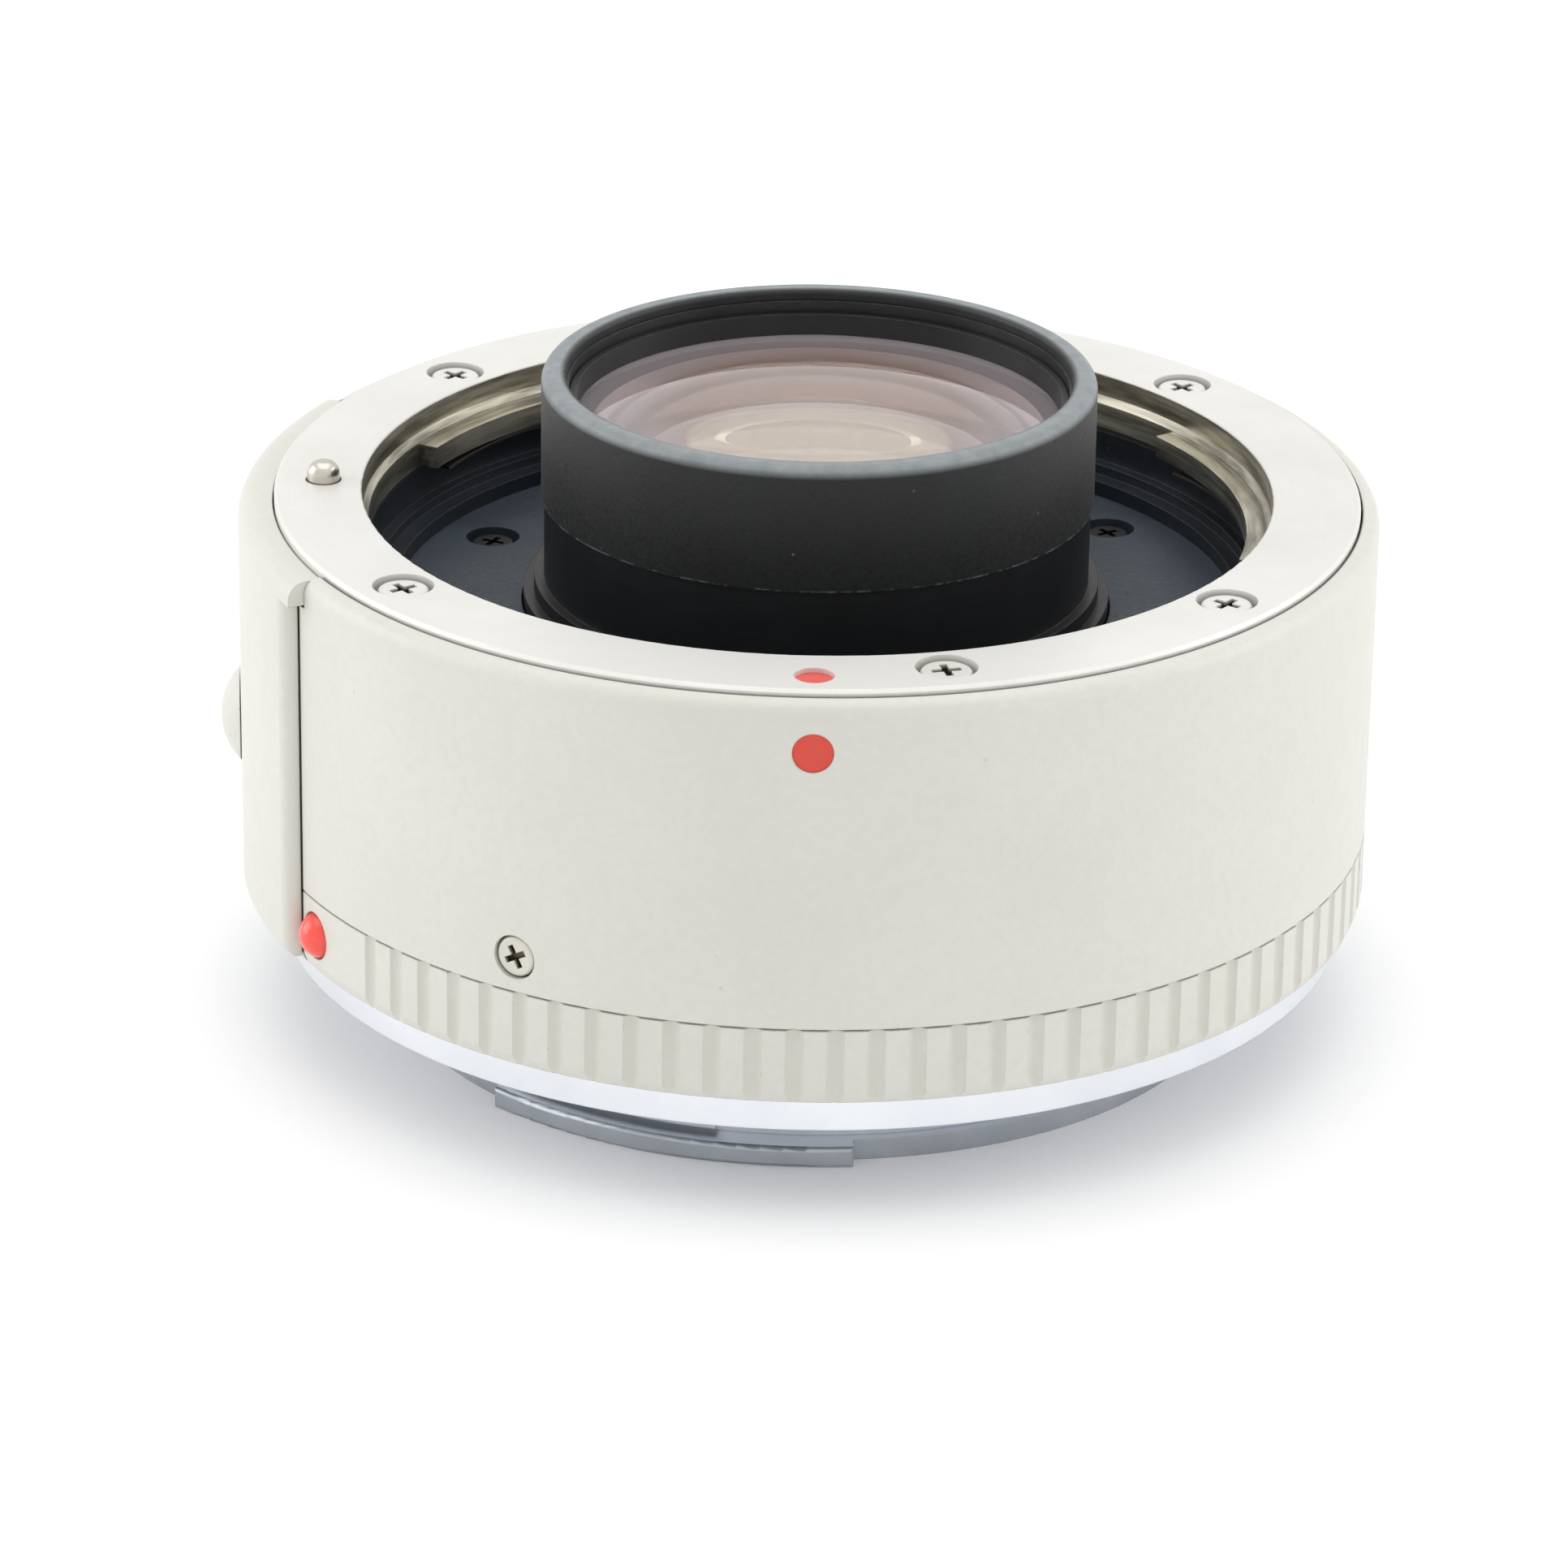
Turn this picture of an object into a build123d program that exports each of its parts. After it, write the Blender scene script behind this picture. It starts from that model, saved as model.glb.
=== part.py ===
"""Camera teleconverter: a short tube of glass between a camera body and a lens. Millimetres.

The optical axis is Z. Height zero is the rear flange plane, which meets the camera's mount,
and +Z looks toward the lens that is mounted in front. The front index lies toward -Y.
Compass angles turn about Z from the front index toward +X.
"""
from build123d import *
from math import asin, cos, degrees, hypot, radians, sin, sqrt
import os

os.makedirs("parts", exist_ok=True)

# Fits
CLEAR = 0.1  # between pieces that are fastened together
RUNNING_CLEAR = 0.1  # round a piece that moves
THREAD_CLEAR = 0.03  # round a screw in its thread
CUT = 1.0  # how far a cutter runs past the face it cuts

# Body
BODY_LENGTH = 27.3  # rear flange plane to front seat
BODY_RIM = 6.8  # throat to the outside
BODY_WALL = 2.0
BODY_EDGE = 0.9  # rounding of the shell's front edge
EDGE_LIMIT_SHARE = 0.9  # of the wall that a rounding may take
GRIP_LENGTH = 4.68
GRIP_TAPER = 0.23
GRIP_TAPER_LENGTH = 0.6

# Bayonet that both ends share
CHAMBER_W = 10.55  # barrel to throat
TAB_W = 1.15
MOUNT_CLEAR = 0.2
NECK_LENGTH = 3.95
NECK_STEP = 0.85  # neck inside the tabs
LUG_T = 1.3
LUG_COUNT = 3
LUG_SPAN = 50.0
TAB_SPAN = 49.0
LUG_ANGLE = -19.0
INDEX_TURN = -60.0  # where a lens or camera index stands before it is turned home
LOCK_ANGLE = -89.0
LOCK_INSET = 2.7  # outside the throat
CONTACT_ANGLE = 180.0
PAD_RISE = 0.55  # contact pads in from the end of the neck

# Front ring
RING_INSET = 1.17  # inside the body's outer face
FRONT_RING_T = 2.0
FRONT_RING_STAND = 0.4  # above the shell's rim
MOUTH_STEP = 0.37  # ring's mouth outside the throat
MOUTH_DEPTH = 1.45  # front seat to the slope that leads to the throat
MOUTH_EDGE = 0.1
TAB_DROP = 2.0  # front seat to the tabs
TAB_T = 1.4
RING_EDGE = 0.2
SHIM_T = 0.2
LEAF_PLATE_T = 0.3
LEAF_DROP = 0.45  # bow of a leaf
LEAF_ROOT_SPAN = 6.0
LEAF_SPAN = 40.0
LEAF_T_SHARE = 0.6  # of the plate that carries the leaves
RING_SCREW_INSET = 2.7  # outside the throat
RING_SCREW_ANGLES = (-129.7, -53.4, 14.5, 53.1, 130.0)
RING_SCREW_HEAD_R = 1.5
RING_SCREW_HEAD_T = 0.75
RING_SCREW_SHANK_R = 0.8
RING_SCREW_LENGTH = 6.2
RING_RECESS_R = 1.8
RING_RECESS_DEPTH = 0.95
FRONT_INDEX_R = 1.15
FRONT_INDEX_INSET = 3.4  # outside the throat
FRONT_INDEX_DEPTH = 0.8
FRONT_INDEX_SINK = 0.3  # paint fill below the seat
PAINT_SINK = 0.08  # spot on the shell below the face round it

# Lens chamber
FLOOR_ROOM = 2.05  # under a lens's neck
LINER_WALL = 1.0
FLOOR_T = 1.4
LEDGE_INSET = 0.6  # inside the throat
LEDGE_W = 1.0
LEDGE_RISE = 1.0
LUG_ROOM = 0.4  # under a lens's lugs
FLOOR_SCREW_INSET = 3.3  # inside the floor's edge
FLOOR_SCREW_ANGLES = (-115.0, 5.0, 125.0)
FLOOR_SCREW_HEAD_R = 1.3
FLOOR_SCREW_HEAD_T = 0.6
FLOOR_SCREW_SHANK_R = 0.7
FLOOR_RECESS_R = 1.65
FLOOR_RECESS_DEPTH = 0.9

# Optics barrel
BARREL_RISE = 7.2  # rim above the front seat
BARREL_WALL = 1.5  # outside the front glass
BARREL_REAR_WALL = 1.35
TAIL_RISE = 1.65  # barrel's tail in from the end of the neck
FLANGE_INSET = 1.3  # inside the liner
BARREL_FLANGE_T = 1.6
COLLAR_STEP = 1.25
COLLAR_RISE = 0.8
UPPER_COLLAR_STEP = 0.6
UPPER_COLLAR_RISE = 1.7
RUBBER_STAND = 0.19  # proud of the barrel
RUBBER_WALL = 0.75
RUBBER_LENGTH = 7.66
RUBBER_LIP_W = 1.49
RUBBER_LIP_T = 0.7
RUBBER_EDGE = 0.65

# Glass, front to rear: rims, edge thicknesses and how far each face bulges at its middle
GLASS_CLEAR = 0.05
GLASS_DEPTH = 2.75  # rim of the barrel down to the first element's edge
FRONT_GLASS_R = 14.95
REAR_GLASS_STEP = 0.75  # smaller than the front glass
RETAINER_LAP = 0.45
RETAINER_T = 1.35
ELEMENT_1_EDGE = 3.6
ELEMENT_1_BULGES = (0.95, -2.6)
FRONT_SPACER_T = 1.2
FRONT_SPACER_W = 1.55
ELEMENT_2_EDGE = 2.0
ELEMENT_2_BULGES = (2.0, 1.3)
SHOULDER_W = 1.0
SHOULDER_T = 5.3
ELEMENT_3_EDGE = 4.6
ELEMENT_3_BULGES = (-1.4, -1.8)
ELEMENT_3_LAP = 1.4
REAR_SPACER_T = 2.4
REAR_SPACER_W = 1.2
ELEMENT_4_EDGE = 1.6
ELEMENT_4_FRONT_BULGE = 2.2
CEMENT_BULGE = 2.4
ELEMENT_5_EDGE = 4.4
ELEMENT_5_BACK_BULGE = 0.7
REAR_RETAINER_W = 1.6
REAR_RETAINER_T = 1.6

# Inner frame and circuit board
FRAME_WALL = 1.7
FRAME_FLANGE_T = 1.8
FRAME_BORE_ROOM = 0.5
FRAME_FOOT_W = 2.6
FRAME_FOOT_H = 4.9
STANDOFF_R = 2.0
STANDOFF_H = 2.4
BOARD_ROOM = 2.6  # inside the frame's wall
BOARD_BORE_ROOM = 1.8  # round the barrel
BOARD_T = 1.0
BOARD_SCREW_INSET = 3.0
BOARD_SCREW_ANGLES = (-130.0, 0.0, 110.0)
BOARD_SCREW_HEAD_R = 1.2
BOARD_SCREW_HEAD_T = 0.6
BOARD_SCREW_SHANK_R = 0.6
BOARD_SCREW_GRIP = 1.6
CHIP_INSET = 4.2
CHIP_ANGLES = (-50.0, 35.0, 70.0)
CHIP_WIDTH = 5.0
CHIP_DEPTH = 4.0
CHIP_T = 0.9

# Contacts
CONTACT_COUNT = 8
CONTACT_TURN = 7.6  # degrees
BLOCK_END_SPAN = 9.4  # past the last contact
BLOCK_DEPTH = 4.0  # radial
BLOCK_EDGE = 0.3
PIN_R = 0.45
PIN_TRAVEL = 0.7
PIN_STAND = 0.8  # tip above the block
PIN_COLLAR_R = 0.7
PIN_COLLAR_T = 0.5
PIN_ROOF = 0.6  # block above the pin's collar
PAD_WIDTH = 1.9
PAD_DEPTH_RADIAL = 2.6
PAD_T = 0.5
PAD_STAND = 0.05
BLOCK_SCREW_TURN = 4.2  # degrees in from the block's end
BLOCK_SCREW_HEAD_R = 0.9
BLOCK_SCREW_HEAD_T = 0.45
BLOCK_SCREW_SHANK_R = 0.5
BLOCK_RECESS_DEPTH = 0.6
FLEX_T = 0.2
FLEX_HALF_W = 5.0
REAR_FLEX_HALF_W = 4.0
FLEX_ROOM = 0.4
CONNECTOR_H = 1.0
CONNECTOR_DEPTH = 1.8

# Lens release
LOCK_PIN_R = 0.98
LOCK_PIN_STAND = 1.2  # above the front seat
LOCK_PIN_NECK_R = 0.65
LOCK_PIN_DOME_SHARE = 0.8  # of the pin's radius
RELEASE_TRAVEL = 1.8
ARM_W = 4.2
ARM_T = 0.8
ARM_GAP = 0.6  # below the land over it
ARM_END = 1.6  # past the lock pin's axis
ARM_ROOM = 0.4
PLATE_W = 9.0
PLATE_T = 0.7
PLATE_FOOT_ROOM = 0.25  # over the seam when the knob is down
POCKET_WALL = 1.0  # left of the shell's wall behind the slide
POCKET_ROOM = 0.5
KNOB_RISE_SHARE = 0.4257  # of the slide's height
KNOB_R = 2.95
KNOB_DOME = 1.24
KNOB_GAP = 0.05
KNOB_NECK_R = 1.0
KNOB_TENON_R = 0.7
LOCK_SPRING_R = 1.35
LOCK_SPRING_WIRE = 0.32
SPRING_SEAT_DEPTH = 0.5
COVER_GAP = 0.05
COVER_T = 0.95
COVER_BEAD_TURN = 3.0  # degrees from the cover's end to the bead
COVER_LIP_TURN = 1.4  # degrees past the cover at each end
COVER_FOOT = 0.35  # above the grip ring's rear face
COVER_LIP_H = 1.45
COVER_TOP_SINK = 0.15
COVER_TOP_EDGE = 1.1
COVER_FOOT_EDGE = 0.5
COVER_END_EDGE = 0.9
COVER_SCREW_TURN = 18.0
COVER_SCREW_HEAD_R = 1.1
COVER_SCREW_HEAD_T = 0.6
COVER_SCREW_SHANK_R = 0.6
COVER_SCREW_GRIP = 0.6

# Marks and screws on the side
BODY_DOT_R = 1.18
BODY_DOT_DROP = 2.95  # below the shell's rim
BODY_DOT_DEPTH = 0.35
SIDE_SCREW_ANGLES = (-30.0, 90.0, 210.0)
SIDE_SCREW_RISE = 2.13  # above the seam
SIDE_SCREW_HEAD_R = 1.25
SIDE_SCREW_HEAD_T = 0.8
SIDE_SCREW_SHANK_R = 0.7
SIDE_SCREW_GRIP = 1.5
SIDE_RECESS_DEPTH = 0.9
SIDE_SCREW_TURN = 28.0  # of the cross
BEAD_R = 1.42
BEAD_SINK = 0.5  # middle of the bead below the grip's surface
BEAD_SEAT = 0.8
BEAD_STEM_R = 0.8
BEAD_STEM_LENGTH = 0.9
BEAD_ROOM = 0.04

# Knurled grip
GROOVE_TURN = 4.0  # degrees
GROOVE_START_TURN = -1.33
GROOVE_W = 1.0
GROOVE_DEPTH = 0.28
SEAM_GAP = 0.12
SEAM_DEPTH = 0.5
BLANK_COVER_TURN = 4.0
BLANK_BEAD_TURN = 5.5

# Rear bayonet
REAR_FLANGE_INSET = 1.3  # inside the body's outer face
REAR_FLANGE_T = 2.27
NECK_WALL = 1.6
WEB_T = 1.57
WEB_W = 2.8
REAR_SCREW_INSET = 2.1  # outside the frame foot's bore
REAR_SCREW_ANGLES = (-135.0, -45.0, 45.0, 135.0)
REAR_SCREW_HEAD_R = 1.5
REAR_SCREW_HEAD_T = 0.8
REAR_SCREW_SHANK_R = 0.8
REAR_SCREW_GRIP = 3.33
LOCK_SLOT_DEPTH = 1.5
LOCK_SLOT_ROOM = 0.2
LUG_EDGE = 0.25
LUG_LAND_SPAN = 32.0  # thicker neck over the first part of a lug
LUG_LAND_GAP = 0.3
BAFFLE_RISE = 0.85  # in from the end of the neck
BAFFLE_T = 1.2
BAFFLE_WALL = 2.2
BAFFLE_SCREW_ANGLES = (-70.0, 0.0, 70.0)
BAFFLE_SCREW_HEAD_R = 0.85
BAFFLE_SCREW_HEAD_T = 0.45
BAFFLE_SCREW_SHANK_R = 0.5
BAFFLE_RECESS_DEPTH = 0.6

# Screw drives, as shares of the head
DRIVE_SPAN_SHARE = 1.15
DRIVE_WIDTH_SHARE = 0.3
DRIVE_DEPTH_SHARE = 0.65
HEAD_EDGE_SHARE = 0.3

# Heights that follow
BODY_TOP_Z = BODY_LENGTH - FRONT_RING_STAND
RING_UNDER_Z = BODY_LENGTH - FRONT_RING_T
LAND_TOP_Z = RING_UNDER_Z - SHIM_T
MOUTH_Z = BODY_LENGTH - MOUTH_DEPTH
TAB_Z = BODY_LENGTH - TAB_DROP - TAB_T
LINER_TOP_Z = TAB_Z - LEAF_PLATE_T
BAND_DEPTH = NECK_LENGTH + LUG_T
FLOOR_Z = BODY_LENGTH - BAND_DEPTH - FLOOR_ROOM
LEDGE_Z = FLOOR_Z + LEDGE_RISE
LUG_STEP_Z = BODY_LENGTH - BAND_DEPTH - LUG_ROOM
FLOOR_UNDER_Z = FLOOR_Z - FLOOR_T
FRAME_TOP_Z = FLOOR_UNDER_Z - BARREL_FLANGE_T
FRAME_FLANGE_Z = FRAME_TOP_Z - FRAME_FLANGE_T
BOARD_TOP_Z = FRAME_FLANGE_Z - STANDOFF_H
BOARD_UNDER_Z = BOARD_TOP_Z - BOARD_T
SEAM_Z = REAR_FLANGE_T + GRIP_LENGTH
FRAME_FOOT_TOP_Z = REAR_FLANGE_T + FRAME_FOOT_H
RIM_Z = BODY_LENGTH + BARREL_RISE
NOSE_Z = RIM_Z - RUBBER_LIP_T
RUBBER_Z = RIM_Z - RUBBER_LENGTH
COLLAR_Z = FLOOR_Z + COLLAR_RISE
UPPER_COLLAR_Z = FLOOR_Z + UPPER_COLLAR_RISE
WEB_Z = REAR_FLANGE_T - WEB_T
ARM_TOP_Z = FRAME_TOP_Z - ARM_GAP
ARM_Z = ARM_TOP_Z - ARM_T
PLATE_Z = SEAM_Z + RELEASE_TRAVEL + PLATE_FOOT_ROOM
KNOB_Z = PLATE_Z + KNOB_RISE_SHARE * (ARM_TOP_Z - PLATE_Z)
COVER_Z = REAR_FLANGE_T + COVER_FOOT
COVER_TOP_Z = BODY_TOP_Z - COVER_TOP_SINK
COVER_LIP_Z = COVER_TOP_Z - COVER_LIP_H
PAD_DEPTH = BAND_DEPTH - PAD_RISE
BAFFLE_DEPTH = BAND_DEPTH - BAFFLE_RISE
BARREL_TAIL = BAND_DEPTH - TAIL_RISE
PIN_TIP_Z = BODY_LENGTH - PAD_DEPTH + PIN_TRAVEL
BLOCK_TOP_Z = PIN_TIP_Z - PIN_STAND
PIN_SHOULDER_Z = BLOCK_TOP_Z - PIN_ROOF

# Radii that follow, from the glass outward
REAR_GLASS_R = FRONT_GLASS_R - REAR_GLASS_STEP
FRONT_BORE_R = FRONT_GLASS_R + GLASS_CLEAR
REAR_BORE_R = REAR_GLASS_R + GLASS_CLEAR
FRONT_APERTURE_R = FRONT_GLASS_R - RETAINER_LAP
FRONT_SPACER_BORE_R = FRONT_GLASS_R - FRONT_SPACER_W
SHOULDER_R = REAR_GLASS_R - SHOULDER_W
ELEMENT_3_APERTURE_R = REAR_GLASS_R - ELEMENT_3_LAP
REAR_SPACER_BORE_R = REAR_GLASS_R - REAR_SPACER_W
REAR_APERTURE_R = REAR_GLASS_R - REAR_RETAINER_W
BARREL_R = FRONT_GLASS_R + BARREL_WALL
BARREL_REAR_R = REAR_BORE_R + BARREL_REAR_WALL
RUBBER_R = BARREL_R + RUBBER_STAND
RUBBER_LIP_R = RUBBER_R - RUBBER_LIP_W
NOSE_R = RUBBER_R - RUBBER_WALL
COLLAR_R = BARREL_R + COLLAR_STEP
UPPER_COLLAR_R = BARREL_R + UPPER_COLLAR_STEP
THROAT_R = BARREL_R + CHAMBER_W
MOUTH_R = THROAT_R + MOUTH_STEP
TAB_R = THROAT_R - TAB_W
NECK_R = TAB_R - NECK_STEP
NECK_BORE_R = NECK_R - NECK_WALL
LUG_R = THROAT_R - MOUNT_CLEAR
BAND_R = TAB_R - MOUNT_CLEAR
WEB_R = NECK_BORE_R - WEB_W
CONTACT_R = NECK_BORE_R - CLEAR - BLOCK_DEPTH / 2
BLOCK_IN_R = CONTACT_R - BLOCK_DEPTH / 2
BLOCK_OUT_R = CONTACT_R + BLOCK_DEPTH / 2
LEDGE_R = THROAT_R - LEDGE_INSET
FLOOR_R = LEDGE_R - LEDGE_W
FLOOR_SCREW_R = FLOOR_R - FLOOR_SCREW_INSET
CHAMBER_R = THROAT_R + CLEAR
LINER_R = CHAMBER_R + LINER_WALL
LAND_R = LINER_R + CLEAR
BARREL_FLANGE_R = LINER_R - FLANGE_INSET
LOCK_R = THROAT_R + LOCK_INSET
LOCK_HOLE_R = LOCK_PIN_R + RUNNING_CLEAR
RING_SCREW_R = THROAT_R + RING_SCREW_INSET
FRONT_INDEX_PLACE_R = THROAT_R + FRONT_INDEX_INSET
BODY_R = THROAT_R + BODY_RIM
BODY_BORE_R = BODY_R - BODY_WALL
FRONT_RING_R = BODY_R - RING_INSET
RING_SEAT_R = FRONT_RING_R + CLEAR
REAR_FLANGE_R = BODY_R - REAR_FLANGE_INSET
FRAME_R = BODY_BORE_R - CLEAR
FRAME_INNER_R = FRAME_R - FRAME_WALL
FRAME_FOOT_R = FRAME_INNER_R - FRAME_FOOT_W
FRAME_BORE_R = COLLAR_R + FRAME_BORE_ROOM
REAR_SCREW_R = FRAME_FOOT_R + REAR_SCREW_INSET
BOARD_R = FRAME_INNER_R - BOARD_ROOM
BOARD_BORE_R = BARREL_REAR_R + BOARD_BORE_ROOM
BOARD_SCREW_R = BOARD_R - BOARD_SCREW_INSET
CHIP_R = BOARD_BORE_R + CHIP_INSET
COVER_IN_R = BODY_R + COVER_GAP
COVER_R = COVER_IN_R + COVER_T
POCKET_R = BODY_BORE_R + POCKET_WALL
PLATE_IN_R = POCKET_R + RUNNING_CLEAR
PLATE_OUT_R = PLATE_IN_R + PLATE_T

# Screw lengths that follow
REAR_SCREW_LENGTH = REAR_FLANGE_T + REAR_SCREW_GRIP
BOARD_SCREW_LENGTH = BOARD_SCREW_HEAD_T + BOARD_T + BOARD_SCREW_GRIP
SIDE_SCREW_LENGTH = BODY_WALL - SIDE_RECESS_DEPTH + SIDE_SCREW_HEAD_T + SIDE_SCREW_GRIP
COVER_SCREW_LENGTH = BODY_WALL - CLEAR + COVER_SCREW_GRIP

# Angles that follow
LUG_ANGLES = [LUG_ANGLE + 360 * k / LUG_COUNT for k in range(LUG_COUNT)]
CONTACT_HALF_SPAN = CONTACT_TURN * (CONTACT_COUNT - 1) / 2
CONTACT_ANGLES = [CONTACT_ANGLE - CONTACT_HALF_SPAN + CONTACT_TURN * k for k in range(CONTACT_COUNT)]
BLOCK_HALF_SPAN = CONTACT_HALF_SPAN + BLOCK_END_SPAN
BLOCK_START = CONTACT_ANGLE - BLOCK_HALF_SPAN
BLOCK_END = CONTACT_ANGLE + BLOCK_HALF_SPAN
BLOCK_SCREW_ANGLES = [BLOCK_START + BLOCK_SCREW_TURN, BLOCK_END - BLOCK_SCREW_TURN]
PLATE_HALF_SPAN = degrees(asin(PLATE_W / 2 / PLATE_IN_R))
POCKET_HALF_SPAN = degrees(asin((PLATE_W / 2 + POCKET_ROOM) / POCKET_R))
COVER_HALF_SPAN = INDEX_TURN - LOCK_ANGLE - COVER_BEAD_TURN
BLANK_START = LOCK_ANGLE - COVER_HALF_SPAN - BLANK_COVER_TURN
BLANK_END = INDEX_TURN + BLANK_BEAD_TURN

DOWN = (Align.CENTER, Align.CENTER, Align.MAX)
UP = (Align.CENTER, Align.CENTER, Align.MIN)


def around(radius, turns, height=0):
    """Places on a circle about the axis, each with its own -Y pointing away from the axis."""
    return [
        Location((radius * sin(radians(turn)), -radius * cos(radians(turn)), height), (0, 0, turn))
        for turn in turns
    ]


def outward(radius, turns, height):
    """Places on a circle about the axis, each with its own +Z pointing away from the axis."""
    return [place * Location((0, 0, 0), (90, 0, 0)) for place in around(radius, turns, height)]


def below(radius, turns, height):
    """Places on a circle about the axis, each with its own +Z pointing down."""
    return [place * Location((0, 0, 0), (180, 0, 0)) for place in around(radius, turns, height)]


def half_plane(turn=0):
    """The plane that holds the axis, with its x running outward at a compass angle and y up."""
    out = (sin(radians(turn)), -cos(radians(turn)), 0)
    return Plane(origin=(0, 0, 0), x_dir=out, z_dir=(out[1], -out[0], 0))


def outline(points, turn=0):
    """A closed outline of (radius, height) points, ready to be revolved about the axis."""
    with BuildSketch(half_plane(turn)) as face:
        with BuildLine():
            Polyline(*points, close=True)
        make_face()
    return face.sketch


def step(r_in, r_out, z_low, z_high, turn=0):
    """A rectangular outline between two radii and two heights."""
    return outline([(r_in, z_low), (r_out, z_low), (r_out, z_high), (r_in, z_high)], turn)


def on_circle(radius, turn):
    """A point of the XY plane at a radius and a compass angle."""
    return (radius * sin(radians(turn)), -radius * cos(radians(turn)))


def sector(r_in, r_out, start, end, plane=Plane.XY):
    """A piece of a flat ring between two compass angles."""
    middle = (start + end) / 2
    with BuildSketch(plane) as face:
        with BuildLine():
            ThreePointArc(on_circle(r_out, start), on_circle(r_out, middle), on_circle(r_out, end))
            Line(on_circle(r_out, end), on_circle(r_in, end))
            ThreePointArc(on_circle(r_in, end), on_circle(r_in, middle), on_circle(r_in, start))
            Line(on_circle(r_in, start), on_circle(r_out, start))
        make_face()
    return face.sketch


def cross_screw(head_r, head_t, shank_r, length, countersunk=False):
    """A screw with a cross drive, the top of its head at height zero and its shank below."""
    with BuildPart() as screw:
        if countersunk:
            Cone(shank_r, head_r, head_t, align=DOWN)
        else:
            Cylinder(head_r, head_t, align=DOWN)
            fillet(screw.edges().sort_by(Axis.Z)[-1], head_t * HEAD_EDGE_SHARE)
        Cylinder(shank_r, length, align=DOWN)
        drive = (head_r * DRIVE_SPAN_SHARE, head_r * DRIVE_WIDTH_SHARE, head_t * DRIVE_DEPTH_SHARE)
        Box(drive[0], drive[1], drive[2], align=DOWN, mode=Mode.SUBTRACT)
        Box(drive[1], drive[0], drive[2], align=DOWN, mode=Mode.SUBTRACT)
    return screw.part


def face_point(edge_z, bulge, rim_r, radius, side):
    """A point of a spherical glass face that bulges out from its edge by so much at the middle."""
    if bulge == 0:
        return (radius, edge_z)
    ball = (rim_r * rim_r + bulge * bulge) / (2 * abs(bulge))
    rise = sqrt(ball * ball - radius * radius) - (ball - abs(bulge))
    return (radius, edge_z + side * rise * bulge / abs(bulge))


def element(front_z, back_z, bulges, rims, glass_r):
    """One glass element, from the heights of its two edges, its bulges and its face radii."""
    with BuildSketch(half_plane()) as face:
        with BuildLine():
            top, bottom = (
                [face_point(z, bulge, rim, rim * share, side) for share in (0, 0.5, 1)]
                for z, bulge, rim, side in zip((front_z, back_z), bulges, rims, (1, -1))
            )
            ThreePointArc(*top)
            corners = [top[2], (glass_r, front_z), (glass_r, back_z), bottom[2]]
            Polyline(*[point for point, last in zip(corners, [None] + corners) if point != last])
            ThreePointArc(*reversed(bottom))
            Line(bottom[0], top[0])
        make_face()
    return face.sketch


# Front bayonet ring: a plated plate with a skirt whose three tabs hold the lens's lugs
with BuildPart() as front_mount_ring:
    revolve(
        outline([
            (THROAT_R, TAB_Z), (LINER_R, TAB_Z), (LINER_R, RING_UNDER_Z), (FRONT_RING_R, RING_UNDER_Z),
            (FRONT_RING_R, BODY_LENGTH), (MOUTH_R, BODY_LENGTH), (MOUTH_R, MOUTH_Z),
            (THROAT_R, MOUTH_Z - MOUTH_STEP),
        ]),
        axis=Axis.Z,
    )
    seat_edges = front_mount_ring.edges().filter_by(GeomType.CIRCLE).group_by(Axis.Z)[-1].sort_by(SortBy.RADIUS)
    chamfer(seat_edges[-1], RING_EDGE)
    fillet(seat_edges[0], MOUTH_EDGE)
    for turn in LUG_ANGLES:
        tab = sector(TAB_R, THROAT_R + CLEAR, turn - TAB_SPAN / 2, turn + TAB_SPAN / 2)
        extrude(Plane.XY.offset(TAB_Z) * tab, amount=TAB_T)
    with Locations(*around(RING_SCREW_R, RING_SCREW_ANGLES, BODY_LENGTH)):
        Cylinder(RING_RECESS_R, RING_RECESS_DEPTH, align=DOWN, mode=Mode.SUBTRACT)
        Cylinder(RING_SCREW_SHANK_R + CLEAR, FRONT_RING_T + CUT, align=DOWN, mode=Mode.SUBTRACT)
    with Locations(*around(LOCK_R, [LOCK_ANGLE], BODY_LENGTH)):
        Cylinder(LOCK_HOLE_R, FRONT_RING_T + CUT, align=DOWN, mode=Mode.SUBTRACT)
    with Locations(*around(FRONT_INDEX_PLACE_R, [0], BODY_LENGTH)):
        Cylinder(FRONT_INDEX_R, FRONT_INDEX_DEPTH, align=DOWN, mode=Mode.SUBTRACT)
front_mount_ring.part.label = "front_mount_ring"
export_step(front_mount_ring.part, "parts/front_mount_ring.step")

# Red fill of the index recess in the ring
with BuildPart() as front_index:
    with Locations(*around(FRONT_INDEX_PLACE_R, [0], BODY_LENGTH - FRONT_INDEX_SINK)):
        Cylinder(FRONT_INDEX_R, FRONT_INDEX_DEPTH - FRONT_INDEX_SINK, align=DOWN)
front_index.part.label = "front_index"
export_step(front_index.part, "parts/front_index.step")

# Five screws that hold the ring down
ring_screw = cross_screw(RING_SCREW_HEAD_R, RING_SCREW_HEAD_T, RING_SCREW_SHANK_R, RING_SCREW_LENGTH)
ring_screw_z = BODY_LENGTH - RING_RECESS_DEPTH + RING_SCREW_HEAD_T
with BuildPart() as front_ring_screws:
    with Locations(*around(RING_SCREW_R, RING_SCREW_ANGLES, ring_screw_z)):
        add(ring_screw)
front_ring_screws.part.label = "front_ring_screws"
export_step(front_ring_screws.part, "parts/front_ring_screws.step")

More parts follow.
